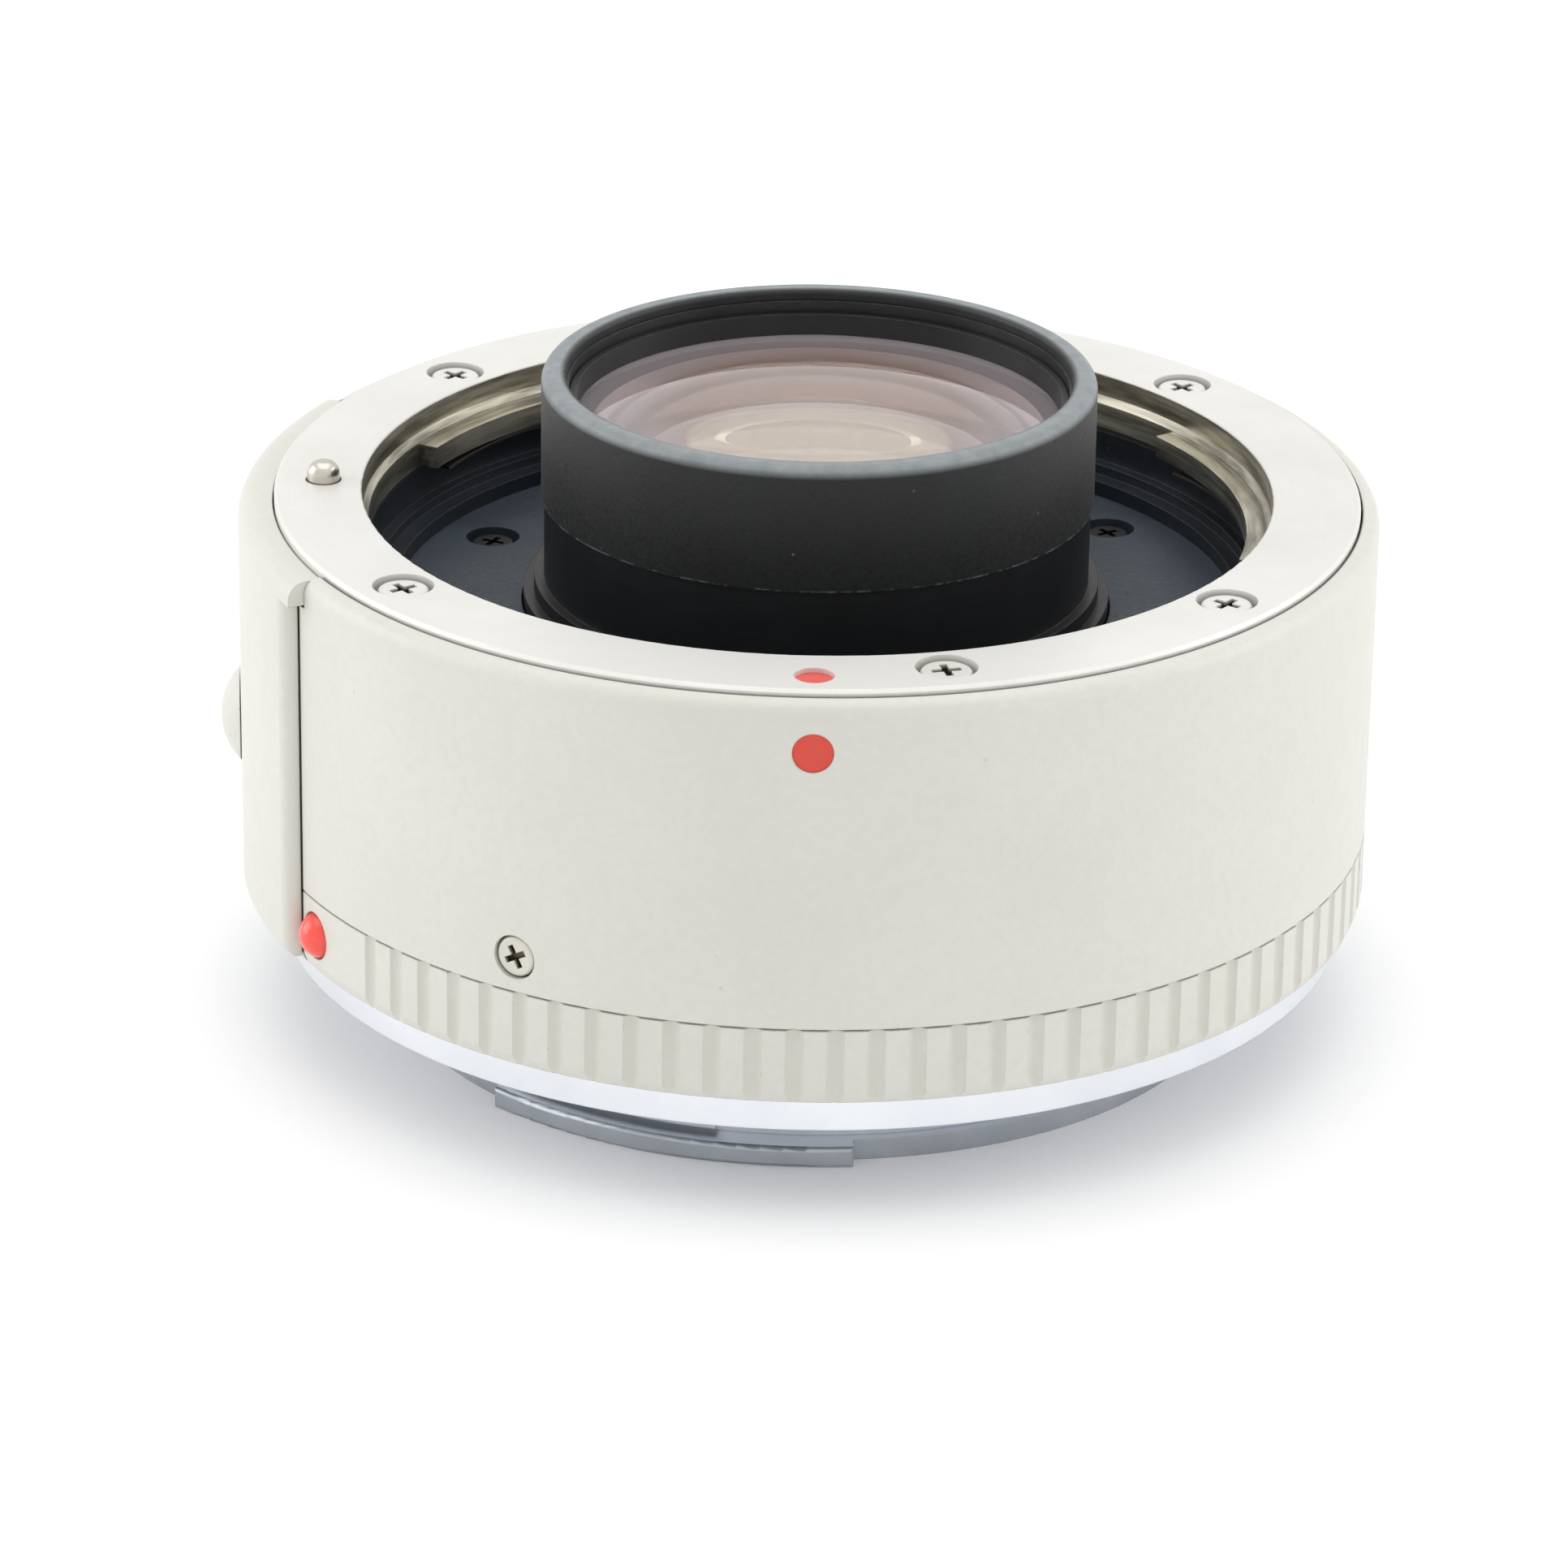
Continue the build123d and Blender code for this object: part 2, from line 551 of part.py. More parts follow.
# Shim that sets the distance between the two mount faces
with BuildPart() as front_shim:
    revolve(step(LAND_R, FRONT_RING_R, LAND_TOP_Z, RING_UNDER_Z), axis=Axis.Z)
    with Locations(*around(RING_SCREW_R, RING_SCREW_ANGLES, RING_UNDER_Z + CUT)):
        Cylinder(RING_SCREW_SHANK_R + CLEAR, SHIM_T + 2 * CUT, align=DOWN, mode=Mode.SUBTRACT)
    with Locations(*around(LOCK_R, [LOCK_ANGLE], RING_UNDER_Z + CUT)):
        Cylinder(LOCK_HOLE_R, SHIM_T + 2 * CUT, align=DOWN, mode=Mode.SUBTRACT)
front_shim.part.label = "front_shim"
export_step(front_shim.part, "parts/front_shim.step")

# Leaf springs under the tabs, three bowed leaves on one thin ring
LEAF_R = (TAB_R + CLEAR, THROAT_R - CLEAR)


def bowed_leaf():
    """One leaf at the front, its middle in the plate's thickness and its ends bent down."""
    leaf_t = LEAF_PLATE_T * LEAF_T_SHARE
    top_z = TAB_Z - (LEAF_PLATE_T - leaf_t) / 2
    half_w = LEAF_R[1] * sin(radians(LEAF_SPAN / 2))
    with BuildPart() as leaf:
        with BuildSketch(Plane.XZ):
            with BuildLine():
                ThreePointArc((-half_w, top_z - LEAF_DROP), (0, top_z), (half_w, top_z - LEAF_DROP))
                Line((half_w, top_z - LEAF_DROP), (half_w, top_z - leaf_t - LEAF_DROP))
                ThreePointArc(
                    (half_w, top_z - leaf_t - LEAF_DROP), (0, top_z - leaf_t),
                    (-half_w, top_z - leaf_t - LEAF_DROP),
                )
                Line((-half_w, top_z - leaf_t - LEAF_DROP), (-half_w, top_z - LEAF_DROP))
            make_face()
        extrude(amount=THROAT_R + CUT)
        revolve(step(*LEAF_R, LEDGE_Z, BODY_LENGTH), axis=Axis.Z, mode=Mode.INTERSECT)
    return leaf.part


with BuildPart() as mount_leaf_springs:
    revolve(step(CHAMBER_R, LINER_R, LINER_TOP_Z, TAB_Z), axis=Axis.Z)
    for turn in LUG_ANGLES:
        root = sector(LEAF_R[0], CHAMBER_R + CLEAR, turn - LEAF_ROOT_SPAN / 2, turn + LEAF_ROOT_SPAN / 2)
        extrude(Plane.XY.offset(LINER_TOP_Z) * root, amount=LEAF_PLATE_T)
        with Locations(Location((0, 0, 0), (0, 0, turn))):
            add(bowed_leaf())
mount_leaf_springs.part.label = "mount_leaf_springs"
export_step(mount_leaf_springs.part, "parts/mount_leaf_springs.step")

# Main shell: painted tube with a thick front land that takes the ring
with BuildPart() as main_shell:
    revolve(
        outline([
            (BODY_BORE_R, SEAM_Z), (BODY_R, SEAM_Z), (BODY_R, BODY_TOP_Z),
            (RING_SEAT_R, BODY_TOP_Z), (RING_SEAT_R, LAND_TOP_Z), (LAND_R, LAND_TOP_Z),
            (LAND_R, FRAME_TOP_Z), (BODY_BORE_R, FRAME_TOP_Z),
        ]),
        axis=Axis.Z,
    )
    front_edge = main_shell.edges().filter_by(GeomType.CIRCLE).group_by(Axis.Z)[-1].sort_by(SortBy.RADIUS)[-1]
    fillet(front_edge, min(BODY_EDGE, EDGE_LIMIT_SHARE * (BODY_R - RING_SEAT_R)))
    with Locations(*around(RING_SCREW_R, RING_SCREW_ANGLES, LAND_TOP_Z)):
        Cylinder(RING_SCREW_SHANK_R + THREAD_CLEAR, RING_SCREW_LENGTH, align=DOWN, mode=Mode.SUBTRACT)
    with Locations(*around(LOCK_R, [LOCK_ANGLE], LAND_TOP_Z)):
        Cylinder(LOCK_HOLE_R, LAND_TOP_Z, align=DOWN, mode=Mode.SUBTRACT)
    with Locations(*outward(BODY_R + CUT, [0], BODY_TOP_Z - BODY_DOT_DROP)):
        Cylinder(BODY_DOT_R, BODY_DOT_DEPTH + CUT, align=DOWN, mode=Mode.SUBTRACT)
    with Locations(*outward(BODY_R + CUT, SIDE_SCREW_ANGLES, SEAM_Z + SIDE_SCREW_RISE)):
        Cylinder(SIDE_SCREW_HEAD_R + CLEAR, SIDE_RECESS_DEPTH + CUT, align=DOWN, mode=Mode.SUBTRACT)
        Cylinder(SIDE_SCREW_SHANK_R + CLEAR, BODY_WALL + 2 * CUT, align=DOWN, mode=Mode.SUBTRACT)
    # pocket that the release slide runs in, open at the seam, and the window for its arm
    pocket_start = LOCK_ANGLE - POCKET_HALF_SPAN
    pocket = step(POCKET_R, BODY_R + CUT, SEAM_Z - CUT, ARM_TOP_Z + POCKET_ROOM, pocket_start)
    revolve(pocket, axis=Axis.Z, revolution_arc=2 * POCKET_HALF_SPAN, mode=Mode.SUBTRACT)
    with Locations(*around(POCKET_R, [LOCK_ANGLE], FRAME_TOP_Z)):
        Box(
            ARM_W + 2 * ARM_ROOM, 2 * BODY_WALL, ARM_GAP + ARM_T + RELEASE_TRAVEL + ARM_ROOM,
            align=DOWN, mode=Mode.SUBTRACT,
        )
    # the cover's lip takes the place of the rim over the release
    lip_half = COVER_HALF_SPAN + COVER_LIP_TURN
    lip_room_start = LOCK_ANGLE - lip_half - CLEAR
    lip_room = step(RING_SEAT_R - CLEAR / 2, BODY_R + CUT, LAND_TOP_Z, BODY_TOP_Z + CUT, lip_room_start)
    revolve(lip_room, axis=Axis.Z, revolution_arc=2 * (lip_half + CLEAR), mode=Mode.SUBTRACT)
    # the cover's two screws come from inside
    cover_screw_turns = (LOCK_ANGLE - COVER_SCREW_TURN, LOCK_ANGLE + COVER_SCREW_TURN)
    with Locations(*outward(BODY_BORE_R + COVER_SCREW_HEAD_T + CLEAR, cover_screw_turns, KNOB_Z)):
        Cylinder(COVER_SCREW_HEAD_R + CLEAR, 2 * BODY_WALL, align=DOWN, mode=Mode.SUBTRACT)
        Cylinder(COVER_SCREW_SHANK_R + CLEAR, 2 * BODY_WALL, align=UP, mode=Mode.SUBTRACT)
main_shell.part.label = "main_shell"
export_step(main_shell.part, "parts/main_shell.step")

# Painted index spot on the shell, in line with the front index
with BuildPart() as body_index_dot:
    with Locations(*outward(BODY_R + CUT, [0], BODY_TOP_Z - BODY_DOT_DROP)):
        Cylinder(BODY_DOT_R, BODY_DOT_DEPTH + CUT, align=DOWN)
    skin = step(0, BODY_R - PAINT_SINK, SEAM_Z, BODY_TOP_Z)
    revolve(skin, axis=Axis.Z, mode=Mode.INTERSECT)
body_index_dot.part.label = "body_index_dot"
export_step(body_index_dot.part, "parts/body_index_dot.step")

# Screws through the shell into the inner frame
side_screw = cross_screw(SIDE_SCREW_HEAD_R, SIDE_SCREW_HEAD_T, SIDE_SCREW_SHANK_R, SIDE_SCREW_LENGTH)
side_screw_r = BODY_R - SIDE_RECESS_DEPTH + SIDE_SCREW_HEAD_T
with BuildPart() as side_screws:
    for place in outward(side_screw_r, SIDE_SCREW_ANGLES, SEAM_Z + SIDE_SCREW_RISE):
        with Locations(place * Location((0, 0, 0), (0, 0, SIDE_SCREW_TURN))):
            add(side_screw)
side_screws.part.label = "side_screws"
export_step(side_screws.part, "parts/side_screws.step")

# Chamber liner: the dark well that the lens's bayonet and contacts enter
contact_slot_y = BLOCK_OUT_R + FLEX_ROOM + FLEX_T / 2
contact_slot = (2 * (FLEX_HALF_W + FLEX_ROOM), 2 * FLEX_ROOM + FLEX_T)
with BuildPart() as chamber_liner:
    revolve(
        outline([
            (COLLAR_R + CLEAR, FLOOR_UNDER_Z), (LINER_R, FLOOR_UNDER_Z), (LINER_R, LINER_TOP_Z),
            (CHAMBER_R, LINER_TOP_Z), (CHAMBER_R, LUG_STEP_Z), (LEDGE_R, LUG_STEP_Z), (LEDGE_R, LEDGE_Z),
            (FLOOR_R, LEDGE_Z), (FLOOR_R, FLOOR_Z), (COLLAR_R + CLEAR, FLOOR_Z),
        ]),
        axis=Axis.Z,
    )
    with Locations(*around(FLOOR_SCREW_R, FLOOR_SCREW_ANGLES, FLOOR_Z)):
        Cylinder(FLOOR_RECESS_R, FLOOR_RECESS_DEPTH, align=DOWN, mode=Mode.SUBTRACT)
        Cylinder(FLOOR_SCREW_SHANK_R + CLEAR, FLOOR_T + CUT, align=DOWN, mode=Mode.SUBTRACT)
    with Locations(*around(CONTACT_R, BLOCK_SCREW_ANGLES, FLOOR_Z)):
        Cylinder(BLOCK_SCREW_SHANK_R + THREAD_CLEAR, FLOOR_T + CUT, align=DOWN, mode=Mode.SUBTRACT)
    with Locations(*around(contact_slot_y, [CONTACT_ANGLE], FLOOR_Z)):
        Box(*contact_slot, FLOOR_T + CUT, align=DOWN, mode=Mode.SUBTRACT)
chamber_liner.part.label = "chamber_liner"
export_step(chamber_liner.part, "parts/chamber_liner.step")

# Three screws in the chamber floor clamp liner, barrel and frame together
floor_screw_z = FLOOR_Z - FLOOR_RECESS_DEPTH + FLOOR_SCREW_HEAD_T
floor_screw_length = floor_screw_z - FRAME_FLANGE_Z - CLEAR
floor_screw = cross_screw(FLOOR_SCREW_HEAD_R, FLOOR_SCREW_HEAD_T, FLOOR_SCREW_SHANK_R, floor_screw_length)
with BuildPart() as chamber_floor_screws:
    with Locations(*around(FLOOR_SCREW_R, FLOOR_SCREW_ANGLES, floor_screw_z)):
        add(floor_screw)
chamber_floor_screws.part.label = "chamber_floor_screws"
export_step(chamber_floor_screws.part, "parts/chamber_floor_screws.step")

# Heights of the glass, worked out from the barrel's rim toward the rear
ELEMENT_1_Z = RIM_Z - GLASS_DEPTH
FRONT_SPACER_Z = ELEMENT_1_Z - ELEMENT_1_EDGE
ELEMENT_2_Z = FRONT_SPACER_Z - FRONT_SPACER_T
SHOULDER_TOP_Z = ELEMENT_2_Z - ELEMENT_2_EDGE
SHOULDER_Z = SHOULDER_TOP_Z - SHOULDER_T
REAR_SPACER_Z = SHOULDER_Z - ELEMENT_3_EDGE
ELEMENT_4_Z = REAR_SPACER_Z - REAR_SPACER_T
CEMENT_Z = ELEMENT_4_Z - ELEMENT_4_EDGE
REAR_RETAINER_Z = CEMENT_Z - ELEMENT_5_EDGE

# Optics barrel: one turned tube that carries all the glass
with BuildPart() as optics_barrel:
    revolve(
        outline([
            (REAR_BORE_R, -BARREL_TAIL), (BARREL_REAR_R, -BARREL_TAIL), (BARREL_REAR_R, FRAME_TOP_Z),
            (BARREL_FLANGE_R, FRAME_TOP_Z), (BARREL_FLANGE_R, FLOOR_UNDER_Z), (COLLAR_R, FLOOR_UNDER_Z),
            (COLLAR_R, COLLAR_Z), (UPPER_COLLAR_R, COLLAR_Z), (UPPER_COLLAR_R, UPPER_COLLAR_Z),
            (BARREL_R, UPPER_COLLAR_Z), (BARREL_R, RUBBER_Z), (NOSE_R, RUBBER_Z),
            (NOSE_R, NOSE_Z), (FRONT_BORE_R, NOSE_Z), (FRONT_BORE_R, SHOULDER_TOP_Z),
            (SHOULDER_R, SHOULDER_TOP_Z), (SHOULDER_R, SHOULDER_Z), (REAR_BORE_R, SHOULDER_Z),
        ]),
        axis=Axis.Z,
    )
    with Locations(*around(FLOOR_SCREW_R, FLOOR_SCREW_ANGLES, FLOOR_UNDER_Z + CUT)):
        Cylinder(FLOOR_SCREW_SHANK_R + CLEAR, BARREL_FLANGE_T + 2 * CUT, align=DOWN, mode=Mode.SUBTRACT)
    with Locations(*around(contact_slot_y, [CONTACT_ANGLE], FLOOR_UNDER_Z + CUT)):
        Box(*contact_slot, BARREL_FLANGE_T + 2 * CUT, align=DOWN, mode=Mode.SUBTRACT)
optics_barrel.part.label = "optics_barrel"
export_step(optics_barrel.part, "parts/optics_barrel.step")

# Rubber bumper round the nose of the barrel
with BuildPart() as barrel_bumper:
    revolve(
        outline([
            (NOSE_R, RUBBER_Z), (RUBBER_R, RUBBER_Z), (RUBBER_R, RIM_Z), (RUBBER_LIP_R, RIM_Z),
            (RUBBER_LIP_R, NOSE_Z), (NOSE_R, NOSE_Z),
        ]),
        axis=Axis.Z,
    )
    rim_edges = barrel_bumper.edges().filter_by(GeomType.CIRCLE).group_by(Axis.Z)[-1].sort_by(SortBy.RADIUS)
    fillet(rim_edges[-1], RUBBER_EDGE)
    fillet(rim_edges[0], RUBBER_EDGE / 2)
barrel_bumper.part.label = "barrel_bumper"
export_step(barrel_bumper.part, "parts/barrel_bumper.step")

# Threaded ring that holds the front glass
with BuildPart() as front_retaining_ring:
    revolve(step(FRONT_APERTURE_R, FRONT_GLASS_R, ELEMENT_1_Z, ELEMENT_1_Z + RETAINER_T), axis=Axis.Z)
front_retaining_ring.part.label = "front_retaining_ring"
export_step(front_retaining_ring.part, "parts/front_retaining_ring.step")

# Element 1, a negative meniscus
with BuildPart() as lens_element_1:
    rims = (FRONT_APERTURE_R, FRONT_SPACER_BORE_R)
    revolve(element(ELEMENT_1_Z, FRONT_SPACER_Z, ELEMENT_1_BULGES, rims, FRONT_GLASS_R), axis=Axis.Z)
lens_element_1.part.label = "lens_element_1"
export_step(lens_element_1.part, "parts/lens_element_1.step")

# Ring between elements 1 and 2
with BuildPart() as front_spacer:
    revolve(step(FRONT_SPACER_BORE_R, FRONT_GLASS_R, ELEMENT_2_Z, FRONT_SPACER_Z), axis=Axis.Z)
front_spacer.part.label = "front_spacer"
export_step(front_spacer.part, "parts/front_spacer.step")

# Element 2, biconvex
with BuildPart() as lens_element_2:
    rims = (FRONT_SPACER_BORE_R, SHOULDER_R)
    revolve(element(ELEMENT_2_Z, SHOULDER_TOP_Z, ELEMENT_2_BULGES, rims, FRONT_GLASS_R), axis=Axis.Z)
lens_element_2.part.label = "lens_element_2"
export_step(lens_element_2.part, "parts/lens_element_2.step")

# Element 3, biconcave
with BuildPart() as lens_element_3:
    rims = (ELEMENT_3_APERTURE_R, ELEMENT_3_APERTURE_R)
    revolve(element(SHOULDER_Z, REAR_SPACER_Z, ELEMENT_3_BULGES, rims, REAR_GLASS_R), axis=Axis.Z)
lens_element_3.part.label = "lens_element_3"
export_step(lens_element_3.part, "parts/lens_element_3.step")

# Ring between element 3 and the cemented pair
with BuildPart() as rear_spacer:
    revolve(step(REAR_SPACER_BORE_R, REAR_GLASS_R, ELEMENT_4_Z, REAR_SPACER_Z), axis=Axis.Z)
rear_spacer.part.label = "rear_spacer"
export_step(rear_spacer.part, "parts/rear_spacer.step")

# Elements 4 and 5, a cemented pair
with BuildPart() as lens_element_4:
    rims = (REAR_SPACER_BORE_R, REAR_GLASS_R)
    bulges = (ELEMENT_4_FRONT_BULGE, CEMENT_BULGE)
    revolve(element(ELEMENT_4_Z, CEMENT_Z, bulges, rims, REAR_GLASS_R), axis=Axis.Z)
lens_element_4.part.label = "lens_element_4"
export_step(lens_element_4.part, "parts/lens_element_4.step")

with BuildPart() as lens_element_5:
    rims = (REAR_GLASS_R, REAR_APERTURE_R)
    bulges = (-CEMENT_BULGE, ELEMENT_5_BACK_BULGE)
    revolve(element(CEMENT_Z, REAR_RETAINER_Z, bulges, rims, REAR_GLASS_R), axis=Axis.Z)
lens_element_5.part.label = "lens_element_5"
export_step(lens_element_5.part, "parts/lens_element_5.step")

# Threaded ring that holds the rear glass
with BuildPart() as rear_retaining_ring:
    retainer_z = REAR_RETAINER_Z - REAR_RETAINER_T
    revolve(step(REAR_APERTURE_R, REAR_GLASS_R, retainer_z, REAR_RETAINER_Z), axis=Axis.Z)
rear_retaining_ring.part.label = "rear_retaining_ring"
export_step(rear_retaining_ring.part, "parts/rear_retaining_ring.step")

# Inner frame: cast tube that joins the rear bayonet to the barrel and the shell
with BuildPart() as inner_frame:
    revolve(
        outline([
            (FRAME_FOOT_R, REAR_FLANGE_T), (FRAME_R, REAR_FLANGE_T), (FRAME_R, FRAME_TOP_Z),
            (FRAME_BORE_R, FRAME_TOP_Z), (FRAME_BORE_R, FRAME_FLANGE_Z), (FRAME_INNER_R, FRAME_FLANGE_Z),
            (FRAME_INNER_R, FRAME_FOOT_TOP_Z), (FRAME_FOOT_R, FRAME_FOOT_TOP_Z),
        ]),
        axis=Axis.Z,
    )
    with Locations(*around(BOARD_SCREW_R, BOARD_SCREW_ANGLES, BOARD_TOP_Z)):
        Cylinder(STANDOFF_R, STANDOFF_H, align=UP)
        Cylinder(BOARD_SCREW_SHANK_R + THREAD_CLEAR, BOARD_SCREW_LENGTH, align=UP, mode=Mode.SUBTRACT)
    with Locations(*around(FLOOR_SCREW_R, FLOOR_SCREW_ANGLES, FRAME_TOP_Z)):
        Cylinder(FLOOR_SCREW_SHANK_R + THREAD_CLEAR, FRAME_FLANGE_T + CUT, align=DOWN, mode=Mode.SUBTRACT)
    with Locations(*around(contact_slot_y, [CONTACT_ANGLE], FRAME_TOP_Z)):
        Box(*contact_slot, FRAME_FLANGE_T + CUT, align=DOWN, mode=Mode.SUBTRACT)
    with Locations(*around(REAR_SCREW_R, REAR_SCREW_ANGLES, REAR_FLANGE_T)):
        Cylinder(REAR_SCREW_SHANK_R + THREAD_CLEAR, FRAME_FOOT_H - CLEAR, align=UP, mode=Mode.SUBTRACT)
    with Locations(*outward(FRAME_R + CUT, SIDE_SCREW_ANGLES, SEAM_Z + SIDE_SCREW_RISE)):
        Cylinder(SIDE_SCREW_SHANK_R + THREAD_CLEAR, FRAME_WALL + 2 * CUT, align=DOWN, mode=Mode.SUBTRACT)
    # notch for the release arm and its spring
    notch_in_r = LOCK_R - ARM_END - ARM_ROOM
    with Locations(*around((notch_in_r + BODY_R) / 2, [LOCK_ANGLE], FRAME_FOOT_TOP_Z)):
        Box(ARM_W + 2 * ARM_ROOM, BODY_R - notch_in_r, FRAME_TOP_Z, align=UP, mode=Mode.SUBTRACT)
    with Locations(*around(LOCK_R, [LOCK_ANGLE], FRAME_FOOT_TOP_Z)):
        Cylinder(LOCK_SPRING_R + CLEAR, SPRING_SEAT_DEPTH, align=DOWN, mode=Mode.SUBTRACT)
inner_frame.part.label = "inner_frame"
export_step(inner_frame.part, "parts/inner_frame.step")

# Ring-shaped circuit board under the frame's flange
with BuildPart() as circuit_board:
    revolve(step(BOARD_BORE_R, BOARD_R, BOARD_UNDER_Z, BOARD_TOP_Z), axis=Axis.Z)
    with Locations(*around(BOARD_SCREW_R, BOARD_SCREW_ANGLES, BOARD_TOP_Z + CUT)):
        Cylinder(BOARD_SCREW_SHANK_R + CLEAR, BOARD_T + 2 * CUT, align=DOWN, mode=Mode.SUBTRACT)
circuit_board.part.label = "circuit_board"
export_step(circuit_board.part, "parts/circuit_board.step")

# Chips and the two flex connectors on the board
rear_flex_y = BLOCK_IN_R + FLEX_ROOM + FLEX_T / 2
with BuildPart() as board_components:
    with Locations(*around(CHIP_R, CHIP_ANGLES, BOARD_UNDER_Z)):
        Box(CHIP_WIDTH, CHIP_DEPTH, CHIP_T, align=DOWN)
    with Locations(*around(contact_slot_y, [CONTACT_ANGLE], BOARD_TOP_Z)):
        Box(2 * (FLEX_HALF_W + FLEX_ROOM), CONNECTOR_DEPTH, CONNECTOR_H, align=UP)
    with Locations(*around(rear_flex_y, [CONTACT_ANGLE], BOARD_UNDER_Z)):
        Box(2 * (REAR_FLEX_HALF_W + FLEX_ROOM), CONNECTOR_DEPTH, CONNECTOR_H, align=DOWN)
board_components.part.label = "board_components"
export_step(board_components.part, "parts/board_components.step")

# Screws that hold the board to the frame's standoffs
board_screw = cross_screw(BOARD_SCREW_HEAD_R, BOARD_SCREW_HEAD_T, BOARD_SCREW_SHANK_R, BOARD_SCREW_LENGTH)
with BuildPart() as board_screws:
    with Locations(*below(BOARD_SCREW_R, BOARD_SCREW_ANGLES, BOARD_UNDER_Z - BOARD_SCREW_HEAD_T)):
        add(board_screw)
board_screws.part.label = "board_screws"
export_step(board_screws.part, "parts/board_screws.step")

# Front contact block on the chamber floor, opposite the index
with BuildPart() as front_contact_block:
    span = sector(BLOCK_IN_R, BLOCK_OUT_R, BLOCK_START, BLOCK_END)
    extrude(Plane.XY.offset(FLOOR_Z) * span, amount=BLOCK_TOP_Z - FLOOR_Z)
    chamfer(front_contact_block.faces().sort_by(Axis.Z)[-1].edges(), BLOCK_EDGE)
    with Locations(*around(CONTACT_R, CONTACT_ANGLES, BLOCK_TOP_Z)):
        Cylinder(PIN_R + RUNNING_CLEAR / 2, PIN_ROOF + CUT, align=DOWN, mode=Mode.SUBTRACT)
    with Locations(*around(CONTACT_R, CONTACT_ANGLES, PIN_SHOULDER_Z)):
        pin_bore_depth = PIN_SHOULDER_Z - FLOOR_Z - 2 * FLEX_T
        Cylinder(PIN_COLLAR_R + RUNNING_CLEAR / 2, pin_bore_depth, align=DOWN, mode=Mode.SUBTRACT)
    with Locations(*around(CONTACT_R, BLOCK_SCREW_ANGLES, BLOCK_TOP_Z)):
        Cylinder(BLOCK_SCREW_HEAD_R + CLEAR, BLOCK_RECESS_DEPTH, align=DOWN, mode=Mode.SUBTRACT)
        Cylinder(BLOCK_SCREW_SHANK_R + CLEAR, BLOCK_TOP_Z, align=DOWN, mode=Mode.SUBTRACT)
    with Locations(*around(BLOCK_OUT_R, [CONTACT_ANGLE], FLOOR_Z)):
        Box(2 * (FLEX_HALF_W + FLEX_ROOM), BLOCK_DEPTH, 2 * FLEX_T, align=UP, mode=Mode.SUBTRACT)
front_contact_block.part.label = "front_contact_block"
export_step(front_contact_block.part, "parts/front_contact_block.step")

# Eight sprung contact pins, each its own piece
for number, turn in enumerate(CONTACT_ANGLES, start=1):
    with BuildPart() as contact_pin:
        with Locations(*around(CONTACT_R, [turn], PIN_TIP_Z)):
            Cylinder(PIN_R, PIN_TIP_Z - PIN_SHOULDER_Z + PIN_COLLAR_T / 2, align=DOWN)
        fillet(contact_pin.edges().sort_by(Axis.Z)[-1], PIN_R / 2)
        with Locations(*around(CONTACT_R, [turn], PIN_SHOULDER_Z - THREAD_CLEAR)):
            Cylinder(PIN_COLLAR_R, PIN_COLLAR_T, align=DOWN)
    contact_pin.part.label = f"contact_pin_{number}"
    export_step(contact_pin.part, f"parts/contact_pin_{number}.step")

# Screws of the front contact block
front_block_screw_length = BLOCK_SCREW_HEAD_T + BLOCK_TOP_Z - BLOCK_RECESS_DEPTH - FLOOR_UNDER_Z - CLEAR
front_block_screw = cross_screw(
    BLOCK_SCREW_HEAD_R, BLOCK_SCREW_HEAD_T, BLOCK_SCREW_SHANK_R, front_block_screw_length,
)
with BuildPart() as front_contact_screws:
    block_screw_z = BLOCK_TOP_Z - BLOCK_RECESS_DEPTH + BLOCK_SCREW_HEAD_T
    with Locations(*around(CONTACT_R, BLOCK_SCREW_ANGLES, block_screw_z)):
        add(front_block_screw)
front_contact_screws.part.label = "front_contact_screws"
export_step(front_contact_screws.part, "parts/front_contact_screws.step")

# Flex circuit from the front contacts down to the board
with BuildPart() as front_flex:
    flex_foot_z = BOARD_TOP_Z + CONNECTOR_H
    with Locations(*around(contact_slot_y, [CONTACT_ANGLE], flex_foot_z)):
        Box(2 * FLEX_HALF_W, FLEX_T, FLOOR_Z + FLEX_T - flex_foot_z, align=UP)
    flap = contact_slot_y + FLEX_T / 2 - BLOCK_OUT_R + BLOCK_DEPTH / 2 - FLEX_ROOM
    with Locations(*around(contact_slot_y + FLEX_T / 2 - flap / 2, [CONTACT_ANGLE], FLOOR_Z)):
        Box(2 * FLEX_HALF_W, flap, FLEX_T, align=UP)
front_flex.part.label = "front_flex"
export_step(front_flex.part, "parts/front_flex.step")

